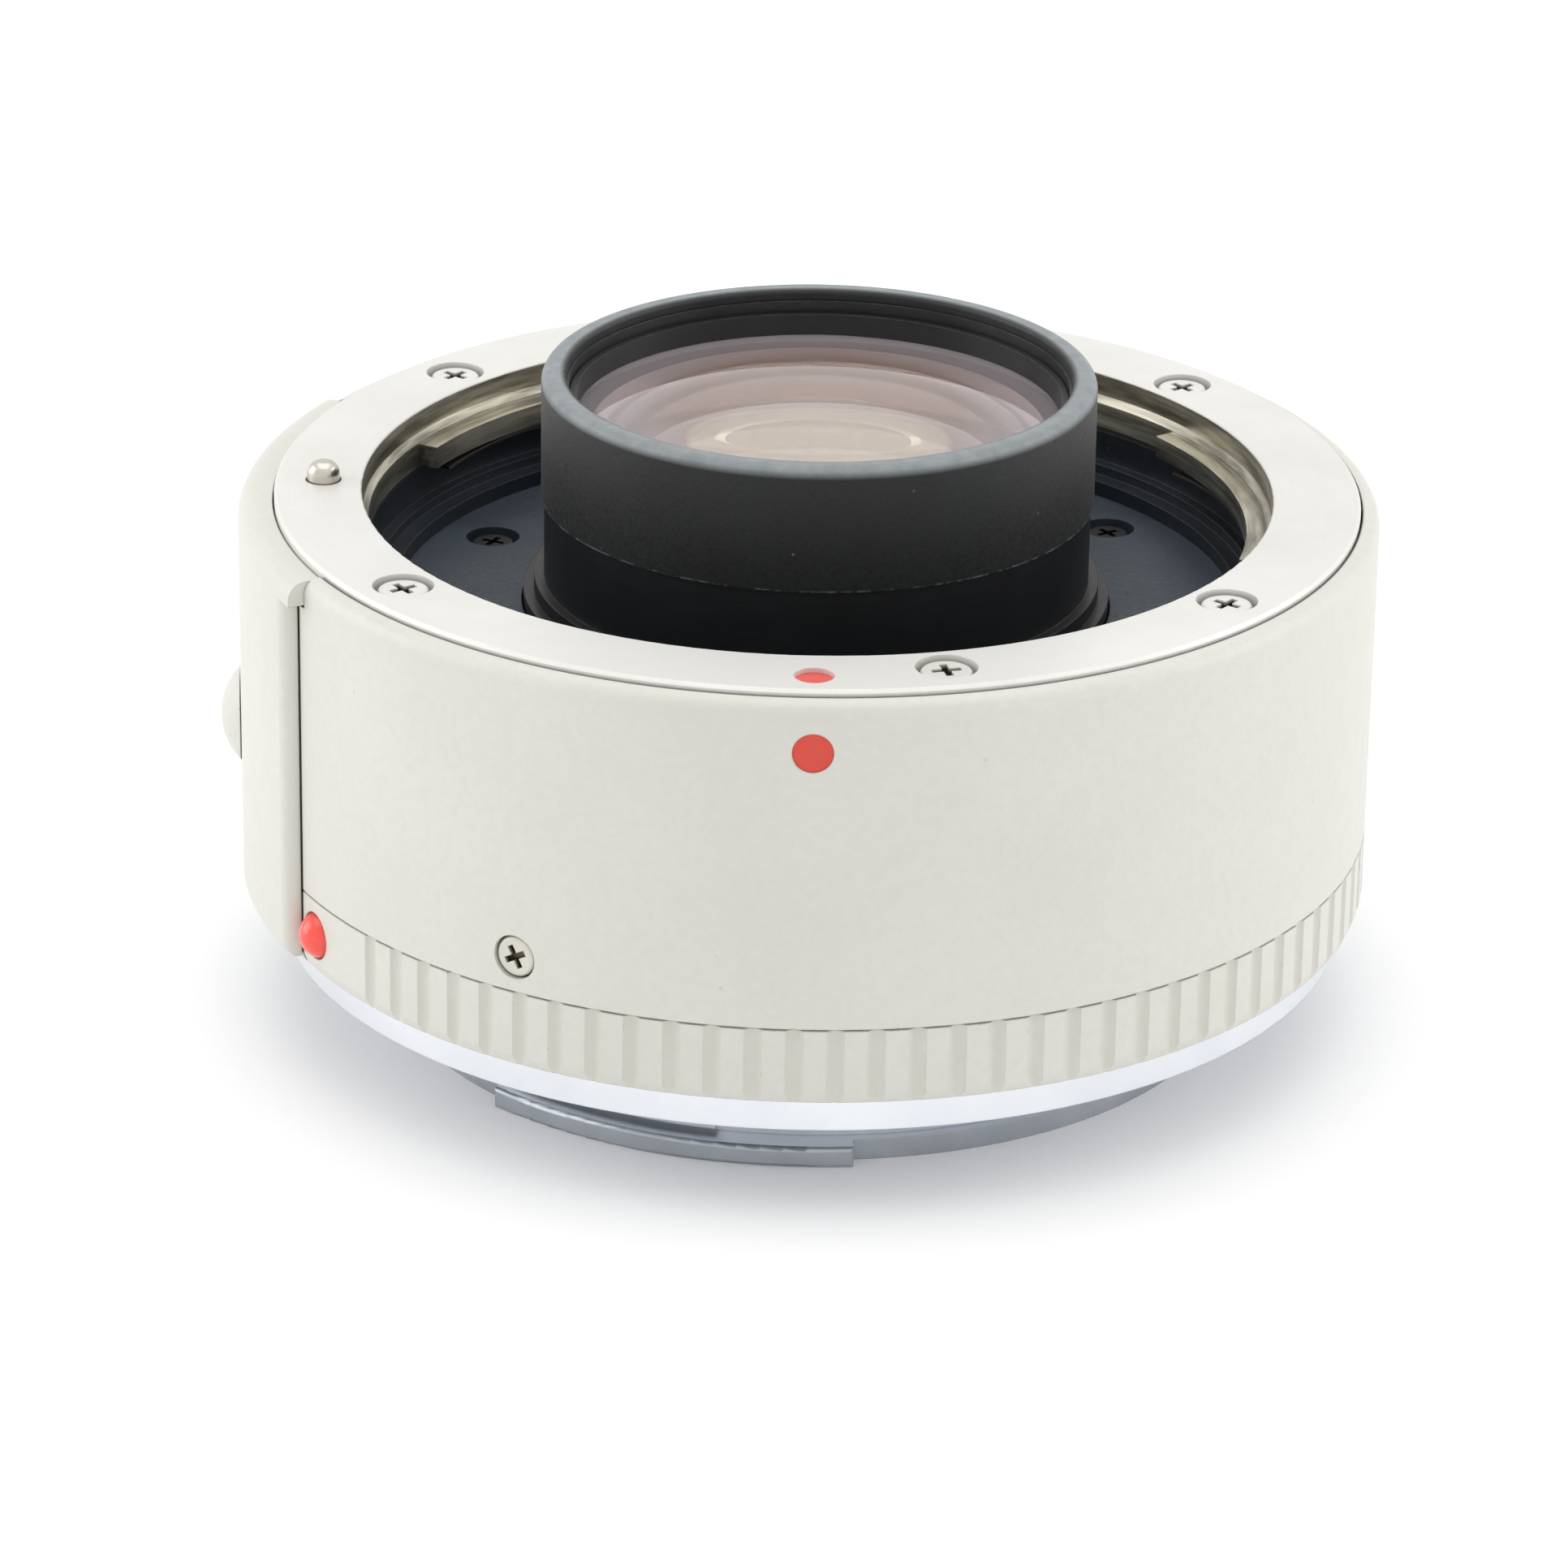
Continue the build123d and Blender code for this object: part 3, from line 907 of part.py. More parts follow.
# Rear bayonet: flange, neck, three lugs and an inner web that carries the contacts
with BuildPart() as rear_mount:
    revolve(
        outline([
            (WEB_R, WEB_Z), (NECK_BORE_R, WEB_Z), (NECK_BORE_R, -BAND_DEPTH), (BAND_R, -BAND_DEPTH),
            (BAND_R, -NECK_LENGTH), (NECK_R, -NECK_LENGTH), (NECK_R, 0), (REAR_FLANGE_R, 0),
            (REAR_FLANGE_R, REAR_FLANGE_T), (WEB_R, REAR_FLANGE_T),
        ]),
        axis=Axis.Z,
    )
    for turn in LUG_ANGLES:
        lug_start = turn - LUG_SPAN / 2
        lug = sector(NECK_R - CLEAR, LUG_R, lug_start, turn + LUG_SPAN / 2)
        extrude(Plane.XY.offset(-BAND_DEPTH) * lug, amount=LUG_T)
        land = sector(NECK_R - CLEAR, BAND_R, lug_start, lug_start + LUG_LAND_SPAN)
        extrude(Plane.XY.offset(LUG_LAND_GAP - NECK_LENGTH) * land, amount=NECK_LENGTH - LUG_LAND_GAP)
    lug_ends = rear_mount.edges().filter_by(Axis.Z).filter_by(
        lambda edge: LUG_R - CLEAR / 2 < hypot(edge.center().X, edge.center().Y) < LUG_R + CLEAR / 2
    )
    lug_rims = rear_mount.edges().filter_by(GeomType.CIRCLE).filter_by(
        lambda edge: abs(edge.radius - LUG_R) < CLEAR / 2
    )
    fillet(lug_ends + lug_rims, LUG_EDGE)
    rear_screw_hole_r = REAR_SCREW_SHANK_R + CLEAR
    with Locations(*around(REAR_SCREW_R, REAR_SCREW_ANGLES, 0)):
        Cone(REAR_SCREW_HEAD_R + CLEAR, rear_screw_hole_r, REAR_SCREW_HEAD_T, align=UP, mode=Mode.SUBTRACT)
        Cylinder(rear_screw_hole_r, REAR_FLANGE_T + CUT, align=UP, mode=Mode.SUBTRACT)
    with Locations(*around(LOCK_R, [LOCK_ANGLE], 0)):
        Cylinder(LOCK_PIN_R + LOCK_SLOT_ROOM, LOCK_SLOT_DEPTH, align=UP, mode=Mode.SUBTRACT)
    baffle_screw_r = NECK_BORE_R - CLEAR - BAFFLE_WALL / 2
    with Locations(*around(baffle_screw_r, BAFFLE_SCREW_ANGLES, WEB_Z)):
        Cylinder(BAFFLE_SCREW_SHANK_R + THREAD_CLEAR, WEB_T + CUT, align=UP, mode=Mode.SUBTRACT)
    rear_block_screw_r = (WEB_R + NECK_BORE_R) / 2
    with Locations(*around(rear_block_screw_r, BLOCK_SCREW_ANGLES, WEB_Z)):
        Cylinder(BLOCK_SCREW_SHANK_R + THREAD_CLEAR, WEB_T + CUT, align=UP, mode=Mode.SUBTRACT)
rear_mount.part.label = "rear_mount"
export_step(rear_mount.part, "parts/rear_mount.step")

# Four countersunk screws hold the rear bayonet to the frame
rear_screw = cross_screw(REAR_SCREW_HEAD_R, REAR_SCREW_HEAD_T, REAR_SCREW_SHANK_R, REAR_SCREW_LENGTH, True)
with BuildPart() as rear_mount_screws:
    with Locations(*below(REAR_SCREW_R, REAR_SCREW_ANGLES, CLEAR)):
        add(rear_screw)
rear_mount_screws.part.label = "rear_mount_screws"
export_step(rear_mount_screws.part, "parts/rear_mount_screws.step")

# Black baffle that closes the neck round the barrel, with a gap for the contacts
baffle_gap = BLOCK_HALF_SPAN + degrees(CLEAR / BLOCK_IN_R)
with BuildPart() as rear_baffle:
    baffle_r = NECK_BORE_R - CLEAR
    revolve(
        outline([
            (BARREL_REAR_R + CLEAR, -BAFFLE_DEPTH), (baffle_r, -BAFFLE_DEPTH), (baffle_r, WEB_Z),
            (baffle_r - BAFFLE_WALL, WEB_Z), (baffle_r - BAFFLE_WALL, BAFFLE_T - BAFFLE_DEPTH),
            (BARREL_REAR_R + CLEAR, BAFFLE_T - BAFFLE_DEPTH),
        ]),
        axis=Axis.Z,
    )
    gap = step(BLOCK_IN_R - CLEAR, NECK_R, -BAFFLE_DEPTH - CUT, WEB_Z + CUT, CONTACT_ANGLE - baffle_gap)
    revolve(gap, axis=Axis.Z, revolution_arc=2 * baffle_gap, mode=Mode.SUBTRACT)
    with Locations(*around(baffle_screw_r, BAFFLE_SCREW_ANGLES, -BAFFLE_DEPTH)):
        Cylinder(BAFFLE_SCREW_HEAD_R + CLEAR, BAFFLE_RECESS_DEPTH, align=UP, mode=Mode.SUBTRACT)
        Cylinder(BAFFLE_SCREW_SHANK_R + CLEAR, BAFFLE_DEPTH + WEB_Z + CUT, align=UP, mode=Mode.SUBTRACT)
rear_baffle.part.label = "rear_baffle"
export_step(rear_baffle.part, "parts/rear_baffle.step")

baffle_screw_length = BAFFLE_SCREW_HEAD_T + BAFFLE_DEPTH - BAFFLE_RECESS_DEPTH + REAR_FLANGE_T - CLEAR
baffle_screw = cross_screw(
    BAFFLE_SCREW_HEAD_R, BAFFLE_SCREW_HEAD_T, BAFFLE_SCREW_SHANK_R, baffle_screw_length,
)
with BuildPart() as rear_baffle_screws:
    baffle_screw_z = BAFFLE_RECESS_DEPTH - BAFFLE_SCREW_HEAD_T - BAFFLE_DEPTH
    with Locations(*below(baffle_screw_r, BAFFLE_SCREW_ANGLES, baffle_screw_z)):
        add(baffle_screw)
rear_baffle_screws.part.label = "rear_baffle_screws"
export_step(rear_baffle_screws.part, "parts/rear_baffle_screws.step")

# Rear contact block with its gold pads
rear_block_out_r = NECK_BORE_R - CLEAR
with BuildPart() as rear_contact_block:
    span = sector(BLOCK_IN_R, rear_block_out_r, BLOCK_START, BLOCK_END)
    extrude(Plane.XY.offset(-PAD_DEPTH) * span, amount=PAD_DEPTH + WEB_Z)
    with Locations(*around(CONTACT_R, CONTACT_ANGLES, -PAD_DEPTH)):
        Box(PAD_WIDTH, PAD_DEPTH_RADIAL, PAD_T - PAD_STAND, align=UP, mode=Mode.SUBTRACT)
    with Locations(*around(rear_block_screw_r, BLOCK_SCREW_ANGLES, -PAD_DEPTH)):
        Cylinder(BLOCK_SCREW_HEAD_R + CLEAR, BLOCK_RECESS_DEPTH, align=UP, mode=Mode.SUBTRACT)
        Cylinder(BLOCK_SCREW_SHANK_R + CLEAR, PAD_DEPTH + WEB_Z + CUT, align=UP, mode=Mode.SUBTRACT)
rear_contact_block.part.label = "rear_contact_block"
export_step(rear_contact_block.part, "parts/rear_contact_block.step")

with BuildPart() as rear_contact_pads:
    with Locations(*around(CONTACT_R, CONTACT_ANGLES, -PAD_DEPTH - PAD_STAND)):
        Box(PAD_WIDTH, PAD_DEPTH_RADIAL, PAD_T, align=UP)
rear_contact_pads.part.label = "rear_contact_pads"
export_step(rear_contact_pads.part, "parts/rear_contact_pads.step")

rear_block_screw_length = BLOCK_SCREW_HEAD_T + PAD_DEPTH - BLOCK_RECESS_DEPTH + REAR_FLANGE_T - CLEAR
rear_block_screw = cross_screw(
    BLOCK_SCREW_HEAD_R, BLOCK_SCREW_HEAD_T, BLOCK_SCREW_SHANK_R, rear_block_screw_length,
)
with BuildPart() as rear_contact_screws:
    rear_block_screw_z = BLOCK_RECESS_DEPTH - BLOCK_SCREW_HEAD_T - PAD_DEPTH
    with Locations(*below(rear_block_screw_r, BLOCK_SCREW_ANGLES, rear_block_screw_z)):
        add(rear_block_screw)
rear_contact_screws.part.label = "rear_contact_screws"
export_step(rear_contact_screws.part, "parts/rear_contact_screws.step")

# Flex circuit from the board to the rear contacts
with BuildPart() as rear_flex:
    rear_flex_top = BOARD_UNDER_Z - CONNECTOR_H
    with Locations(*around(rear_flex_y, [CONTACT_ANGLE], WEB_Z)):
        Box(2 * REAR_FLEX_HALF_W, FLEX_T, rear_flex_top - WEB_Z, align=UP)
rear_flex.part.label = "rear_flex"
export_step(rear_flex.part, "parts/rear_flex.step")

# Knurled grip ring between the rear flange and the shell
half_turns = int(180 / GROOVE_TURN)
groove_turns = [
    turn
    for turn in (GROOVE_START_TURN + GROOVE_TURN * k for k in range(-half_turns, half_turns))
    if not BLANK_START - GROOVE_TURN / 2 < turn < BLANK_END + GROOVE_TURN / 2
]
with BuildPart() as grip_ring:
    revolve(
        outline([
            (BODY_BORE_R, REAR_FLANGE_T), (BODY_R - GRIP_TAPER, REAR_FLANGE_T),
            (BODY_R, REAR_FLANGE_T + GRIP_TAPER_LENGTH), (BODY_R, SEAM_Z - SEAM_GAP),
            (BODY_R - SEAM_DEPTH, SEAM_Z - SEAM_GAP), (BODY_R - SEAM_DEPTH, SEAM_Z), (BODY_BORE_R, SEAM_Z),
        ]),
        axis=Axis.Z,
    )
    groove_r = (GROOVE_W * GROOVE_W / 4 + GROOVE_DEPTH * GROOVE_DEPTH) / (2 * GROOVE_DEPTH)
    with Locations(*around(BODY_R + groove_r - GROOVE_DEPTH, groove_turns, REAR_FLANGE_T)):
        Cylinder(groove_r, GRIP_LENGTH, align=UP, mode=Mode.SUBTRACT)
    bead_z = (REAR_FLANGE_T + SEAM_Z) / 2
    with Locations(*outward(BODY_R - BEAD_SEAT, [INDEX_TURN], bead_z)):
        Cylinder(BEAD_R + BEAD_ROOM, BODY_WALL, align=UP, mode=Mode.SUBTRACT)
        Cylinder(BEAD_STEM_R + BEAD_ROOM, BEAD_STEM_LENGTH + CLEAR, align=DOWN, mode=Mode.SUBTRACT)
grip_ring.part.label = "grip_ring"
export_step(grip_ring.part, "parts/grip_ring.step")

# Red bead that marks where the camera's index stands before the turn
with BuildPart() as rear_index_bead:
    with Locations(*outward(BODY_R - BEAD_SINK, [INDEX_TURN], bead_z)):
        Sphere(BEAD_R)
    with Locations(*outward(BODY_R - BEAD_SEAT, [INDEX_TURN], bead_z)):
        Cylinder(BEAD_R + CUT, BEAD_R + CUT, align=DOWN, mode=Mode.SUBTRACT)
        Cylinder(BEAD_STEM_R, BEAD_STEM_LENGTH, align=DOWN)
rear_index_bead.part.label = "rear_index_bead"
export_step(rear_index_bead.part, "parts/rear_index_bead.step")

# Lock pin: drops into the hole in a lens's flange
with BuildPart() as lock_pin:
    pin_tip_z = BODY_LENGTH + LOCK_PIN_STAND
    with Locations(*around(LOCK_R, [LOCK_ANGLE], pin_tip_z)):
        Cylinder(LOCK_PIN_R, pin_tip_z - ARM_TOP_Z, align=DOWN)
        Cylinder(LOCK_PIN_NECK_R, pin_tip_z - ARM_Z, align=DOWN)
    fillet(lock_pin.edges().sort_by(Axis.Z)[-1], LOCK_PIN_R * LOCK_PIN_DOME_SHARE)
lock_pin.part.label = "lock_pin"
export_step(lock_pin.part, "parts/lock_pin.step")

# Release slide: curved plate behind the cover with an arm that pulls the pin down
with BuildPart() as release_slide:
    plate = sector(PLATE_IN_R, PLATE_OUT_R, LOCK_ANGLE - PLATE_HALF_SPAN, LOCK_ANGLE + PLATE_HALF_SPAN)
    extrude(Plane.XY.offset(PLATE_Z) * plate, amount=ARM_TOP_Z - PLATE_Z)
    arm_in_r = LOCK_R - ARM_END
    arm_out_r = PLATE_IN_R + PLATE_T / 2
    with Locations(*around((arm_in_r + arm_out_r) / 2, [LOCK_ANGLE], ARM_Z)):
        Box(ARM_W, arm_out_r - arm_in_r, ARM_T, align=UP)
    with Locations(*around(LOCK_R, [LOCK_ANGLE], ARM_Z)):
        Cylinder(LOCK_PIN_NECK_R + THREAD_CLEAR, ARM_T, align=UP, mode=Mode.SUBTRACT)
    with Locations(*outward(PLATE_IN_R - CUT, [LOCK_ANGLE], KNOB_Z)):
        Cylinder(KNOB_TENON_R + THREAD_CLEAR, PLATE_T + 2 * CUT, align=UP, mode=Mode.SUBTRACT)
release_slide.part.label = "release_slide"
export_step(release_slide.part, "parts/release_slide.step")

# Release knob: plain domed button whose back follows the cover
with BuildPart() as release_knob:
    head_r = COVER_R + KNOB_GAP
    dome_ball = (KNOB_R * KNOB_R + KNOB_DOME * KNOB_DOME) / (2 * KNOB_DOME)
    with Locations(*outward(head_r + KNOB_DOME - dome_ball, [LOCK_ANGLE], KNOB_Z)):
        Sphere(dome_ball)
    Cylinder(head_r, 2 * BODY_LENGTH, align=UP, mode=Mode.SUBTRACT)
    neck_length = head_r - PLATE_OUT_R
    with Locations(*outward(head_r, [LOCK_ANGLE], KNOB_Z)):
        Cylinder(KNOB_NECK_R, neck_length, align=DOWN)
        Cylinder(KNOB_TENON_R, neck_length + PLATE_T, align=DOWN)
release_knob.part.label = "release_knob"
export_step(release_knob.part, "parts/release_knob.step")

# Spring that lifts the lock pin again
with BuildPart() as lock_spring:
    with Locations(*around(LOCK_R, [LOCK_ANGLE], FRAME_FOOT_TOP_Z - SPRING_SEAT_DEPTH)):
        Cylinder(LOCK_SPRING_R, ARM_Z - FRAME_FOOT_TOP_Z + SPRING_SEAT_DEPTH, align=UP)
        Cylinder(LOCK_SPRING_R - LOCK_SPRING_WIRE, ARM_Z, align=UP, mode=Mode.SUBTRACT)
lock_spring.part.label = "lock_spring"
export_step(lock_spring.part, "parts/lock_spring.step")

# Painted cover over the release, with a lip that takes the place of the shell's rim
with BuildPart() as release_cover:
    plate_outline = outline([
        (COVER_IN_R, COVER_Z), (COVER_R - COVER_FOOT_EDGE, COVER_Z), (COVER_R, COVER_Z + COVER_FOOT_EDGE),
        (COVER_R, COVER_LIP_Z + CLEAR), (COVER_IN_R, COVER_LIP_Z + CLEAR),
    ], LOCK_ANGLE - COVER_HALF_SPAN)
    revolve(plate_outline, axis=Axis.Z, revolution_arc=2 * COVER_HALF_SPAN)
    lip_outline = step(RING_SEAT_R, COVER_R, COVER_LIP_Z, COVER_TOP_Z, LOCK_ANGLE - lip_half)
    revolve(lip_outline, axis=Axis.Z, revolution_arc=2 * lip_half)
    lip_rim = release_cover.edges().filter_by(GeomType.CIRCLE).group_by(Axis.Z)[-1].sort_by(SortBy.RADIUS)[-1]
    fillet(lip_rim, COVER_TOP_EDGE)
    outer_edges = release_cover.edges().filter_by(Axis.Z).filter_by(
        lambda edge: hypot(edge.center().X, edge.center().Y) > COVER_R - CLEAR / 2
    )
    end_edges = outer_edges.filter_by(lambda edge: edge.length > COVER_LIP_H)
    fillet(end_edges, COVER_END_EDGE)
    slot_half = KNOB_NECK_R + RUNNING_CLEAR
    with Locations(*outward(COVER_IN_R - CUT, [LOCK_ANGLE], KNOB_Z - RELEASE_TRAVEL / 2)):
        Box(2 * slot_half, 2 * slot_half + RELEASE_TRAVEL, COVER_T + 2 * CUT, align=UP, mode=Mode.SUBTRACT)
    with Locations(*outward(BODY_BORE_R + COVER_SCREW_HEAD_T + CLEAR, cover_screw_turns, KNOB_Z)):
        cover_screw_depth = COVER_SCREW_LENGTH - COVER_SCREW_HEAD_T + CLEAR
        Cylinder(COVER_SCREW_SHANK_R + THREAD_CLEAR, cover_screw_depth, align=UP, mode=Mode.SUBTRACT)
release_cover.part.label = "release_cover"
export_step(release_cover.part, "parts/release_cover.step")

# Two screws from inside the shell into the cover
cover_screw = cross_screw(COVER_SCREW_HEAD_R, COVER_SCREW_HEAD_T, COVER_SCREW_SHANK_R, COVER_SCREW_LENGTH)
with BuildPart() as cover_screws:
    for place in outward(BODY_BORE_R + CLEAR, cover_screw_turns, KNOB_Z):
        with Locations(place * Location((0, 0, 0), (180, 0, 0))):
            add(cover_screw)
cover_screws.part.label = "cover_screws"
export_step(cover_screws.part, "parts/cover_screws.step")
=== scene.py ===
from math import cos, pi, radians, sin

import bpy
from mathutils import Matrix, Vector

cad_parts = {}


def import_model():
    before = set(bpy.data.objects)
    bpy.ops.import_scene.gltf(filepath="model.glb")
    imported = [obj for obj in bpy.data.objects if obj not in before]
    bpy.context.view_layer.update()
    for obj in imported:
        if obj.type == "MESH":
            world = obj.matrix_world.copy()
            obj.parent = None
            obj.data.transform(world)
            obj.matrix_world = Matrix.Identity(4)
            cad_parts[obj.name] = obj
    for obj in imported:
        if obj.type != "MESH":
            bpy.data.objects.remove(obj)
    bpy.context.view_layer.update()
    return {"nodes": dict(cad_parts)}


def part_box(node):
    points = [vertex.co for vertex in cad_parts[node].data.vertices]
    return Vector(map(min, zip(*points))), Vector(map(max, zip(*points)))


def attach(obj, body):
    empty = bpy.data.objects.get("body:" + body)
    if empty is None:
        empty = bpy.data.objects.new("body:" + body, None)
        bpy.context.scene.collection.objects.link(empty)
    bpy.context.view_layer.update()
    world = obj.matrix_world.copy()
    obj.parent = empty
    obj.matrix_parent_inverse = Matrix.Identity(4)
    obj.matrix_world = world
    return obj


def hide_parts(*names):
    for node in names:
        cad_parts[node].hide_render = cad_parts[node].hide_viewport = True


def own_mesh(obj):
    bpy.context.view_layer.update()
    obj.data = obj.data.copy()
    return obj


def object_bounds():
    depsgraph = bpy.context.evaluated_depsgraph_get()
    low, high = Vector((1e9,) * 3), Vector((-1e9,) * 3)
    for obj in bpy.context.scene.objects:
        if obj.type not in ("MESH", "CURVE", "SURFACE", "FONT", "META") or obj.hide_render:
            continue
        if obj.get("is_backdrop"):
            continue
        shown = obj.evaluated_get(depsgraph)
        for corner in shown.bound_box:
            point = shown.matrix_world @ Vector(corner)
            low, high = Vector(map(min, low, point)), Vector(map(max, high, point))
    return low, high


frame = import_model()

MM = 0.001

# The photograph, and the camera that fits its circles and edges
PHOTO_SIDE = 1932
FOCAL_PX = 8453.2
SENSOR = 36.0
CAMERA_BACK = 418.18 * MM
CAMERA_RISE = 22.414
CAMERA_ROLL = 1.005
AIM = Vector((0, 0, 13.0 * MM))
AIM_PX = (1002.83, 867.86)
NEAREST_VIEW = 0.01
FARTHEST_VIEW = 20.0

# Light. Each lamp has a name, then in metres and watts a place, two sides and a power
WORLD_LEVEL = 0.78
FLOOR_LIFT = 0.065
FLOOR_HALF_SIDE = 3.0
LAMPS = (
    ("soft_top", (0.0, 0.05, 0.8), (0.9, 0.9), 2.3),
    ("soft_left", (-0.8, 0.08, 0.3), (0.6, 0.6), 2.3),
    ("soft_right", (0.8, 0.1, 0.3), (0.6, 0.6), 2.0),
)

# Sizes of the CAD model that no box tells, in millimetres and degrees
GROOVE_DEPTH = 0.28
COVER_ANGLE = -89.0
COVER_SPAN = 26.0
LIP_SPAN = 27.4
LIP_LOW = 25.3
MOUTH_R = 27.37
LINER_FLOOR = 20.0
LUG_FACE = -4.0

# The painted shade lines in gaps: degrees inside and outside the cover's ends, the rest in millimetres
GAP_INSIDE = 0.3
GAP_OUTSIDE = 0.3
GAP_SOFT = 0.05
NOTCH_HEIGHT = 0.25
SEAT_DEPTH = 1.0

# The zones of painted reflection and painted light in the glass, as radii in millimetres
PAINTED_REFLECTION_START_R = 8.5
PAINTED_REFLECTION_END_R = 14.2
HEART_R = 8.0
HEART_SOFT = 0.4

# The wound spring, its wire in millimetres
SPRING_WIRE = 0.32
SPRING_TURNS = 6
SPRING_STEPS = 28
SPRING_SIDES = 8

# Colours as a picture shows them, from 0 to 255
PAINT = (213, 212, 204)
PAINT_PALE = (217, 216, 210)
PAINT_MOTTLE = (210, 208, 197)
PAINT_SPECK = (176, 168, 152)
# Darker colour towards the grip ring's groove floors
GROOVE_DARKER = (206, 203, 192)
CHIPPED = (120, 112, 98)
# Painted shade for the gaps beside the cover and round the front ring
GAP_SHADE = (66, 64, 58)
PLATE_FACE = ((233, 232, 228), (225, 223, 218))
# Painted reflections in the front ring's bore
PLATE_LINES = (208, 206, 200)
BORE_REFLECTION_DARK = (126, 122, 109)
BORE_REFLECTION_PALE = (212, 207, 190)
# Painted shade in the screws' crosses
SLOT_SHADE = (96, 91, 76)
SIDE_HEAD_FACE = ((212, 210, 198), (202, 199, 186))
FLANGE_BRIGHT = ((227, 230, 235), (219, 222, 228))
LUG_SATIN = ((184, 189, 194), (168, 173, 178))
STEEL_BRIGHT = (232, 231, 228)
STEEL_WARM = (206, 202, 190)
STEEL_SPRING = (206, 208, 210)
STEEL_WORN = (150, 146, 140)
STEEL_RUBBED = (250, 250, 250)
CAST_ALLOY = (176, 178, 180)
CAST_WORN = (140, 142, 146)
SCUFF_GREY = (120, 122, 126)
# Painted shade on the leaf springs under the tabs
LEAF_SHADE = ((52, 50, 46), (74, 70, 62))
SCREW_BLACK = ((20, 21, 23), (30, 32, 35))
BARREL_BLACK = ((20, 21, 23), (28, 30, 33))
RUBBER_BLACK = ((19, 20, 22), (24, 26, 28))
RUBBER_LINT = (126, 128, 130)
# Painted highlight on the rubber rim's crown
RUBBER_CROWN_HIGHLIGHT = (140, 147, 149)
RUBBER_SEAM = (112, 115, 118)
BAFFLE_BLACK = ((26, 27, 30), (32, 34, 37))
CHIP_BLACK = ((24, 25, 27), (34, 35, 38))
# Painted shade on the well's walls and painted light on its floor
WELL_WALL_SHADED = ((26, 29, 34), (34, 38, 44))
WELL_FLOOR_LIT = ((50, 57, 65), (62, 70, 79))
WELL_EDGE = (80, 85, 92)
WELL_GLEAM = (226, 242, 255)
PLASTIC_EDGE = (90, 94, 100)
PLASTIC_LINT = (110, 114, 118)
GLASS_CLEAR = (250, 250, 250)
GLASS_DUST = (190, 190, 190)
# Painted reflection and painted light in the glass
PAINTED_REFLECTION_INNER = (88, 72, 64)
PAINTED_REFLECTION_OUTER = (120, 114, 117)
PAINTED_HEART_GLOW = (112, 112, 94)
PAINTED_HEART_LIGHT = (255, 253, 238)
PAINTED_TAN_ZONE = (198, 178, 160)
NO_HAZE = (0, 0, 0)
RING_RED = ((224, 92, 86), (208, 74, 68))
DOT_RED = ((217, 72, 56), (208, 62, 48))
BEAD_RED = ((255, 82, 66), (242, 62, 52))
GOLD_BRIGHT = (236, 196, 112)
GOLD_RUBBED = (196, 160, 96)
BOARD_GREEN = ((20, 84, 54), (26, 98, 62))
TRACK_GREEN = (54, 130, 84)
FLEX_AMBER = ((206, 120, 34), (184, 98, 26))
FLEX_TRACK = (224, 160, 84)
FLOOR_PALE = ((250, 250, 251), (252, 252, 252))

# Tints of the coatings' reflections, as shares of white
MAUVE_TINT = (1.0, 0.92, 0.98, 1)
ROSE_TINT = (1.0, 0.88, 0.9, 1)
AMBER_TINT = (1.0, 0.95, 0.84, 1)
WHITE = (1.0, 1.0, 1.0, 1)


def corners_mm(node):
    """The lowest and highest corners of a CAD node, in millimetres."""
    low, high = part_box(node)
    return low / MM, high / MM


# Sizes read from the CAD model, in millimetres
shell_high = corners_mm("main_shell")[1]
BODY_R = shell_high.x
BODY_TOP = shell_high.z
ring_low, ring_high = corners_mm("front_mount_ring")
RING_R = -ring_low.y
RING_TOP = ring_high.z
RING_HEAD_TOP = corners_mm("front_ring_screws")[1].z
SIDE_HEAD_TOP = corners_mm("side_screws")[1].x
bumper_low, bumper_high = corners_mm("barrel_bumper")
BUMPER_R = -bumper_low.y
BARREL_SEAM = bumper_low.z
RIM_TOP = bumper_high.z


def srgb(red, green, blue):
    """A colour written as a picture shows it, from 0 to 255, as the renderer's own."""
    out = []
    for value in (red, green, blue):
        share = value / 255
        out.append(share / 12.92 if share <= 0.04045 else ((share + 0.055) / 1.055) ** 2.4)
    return (*out, 1.0)


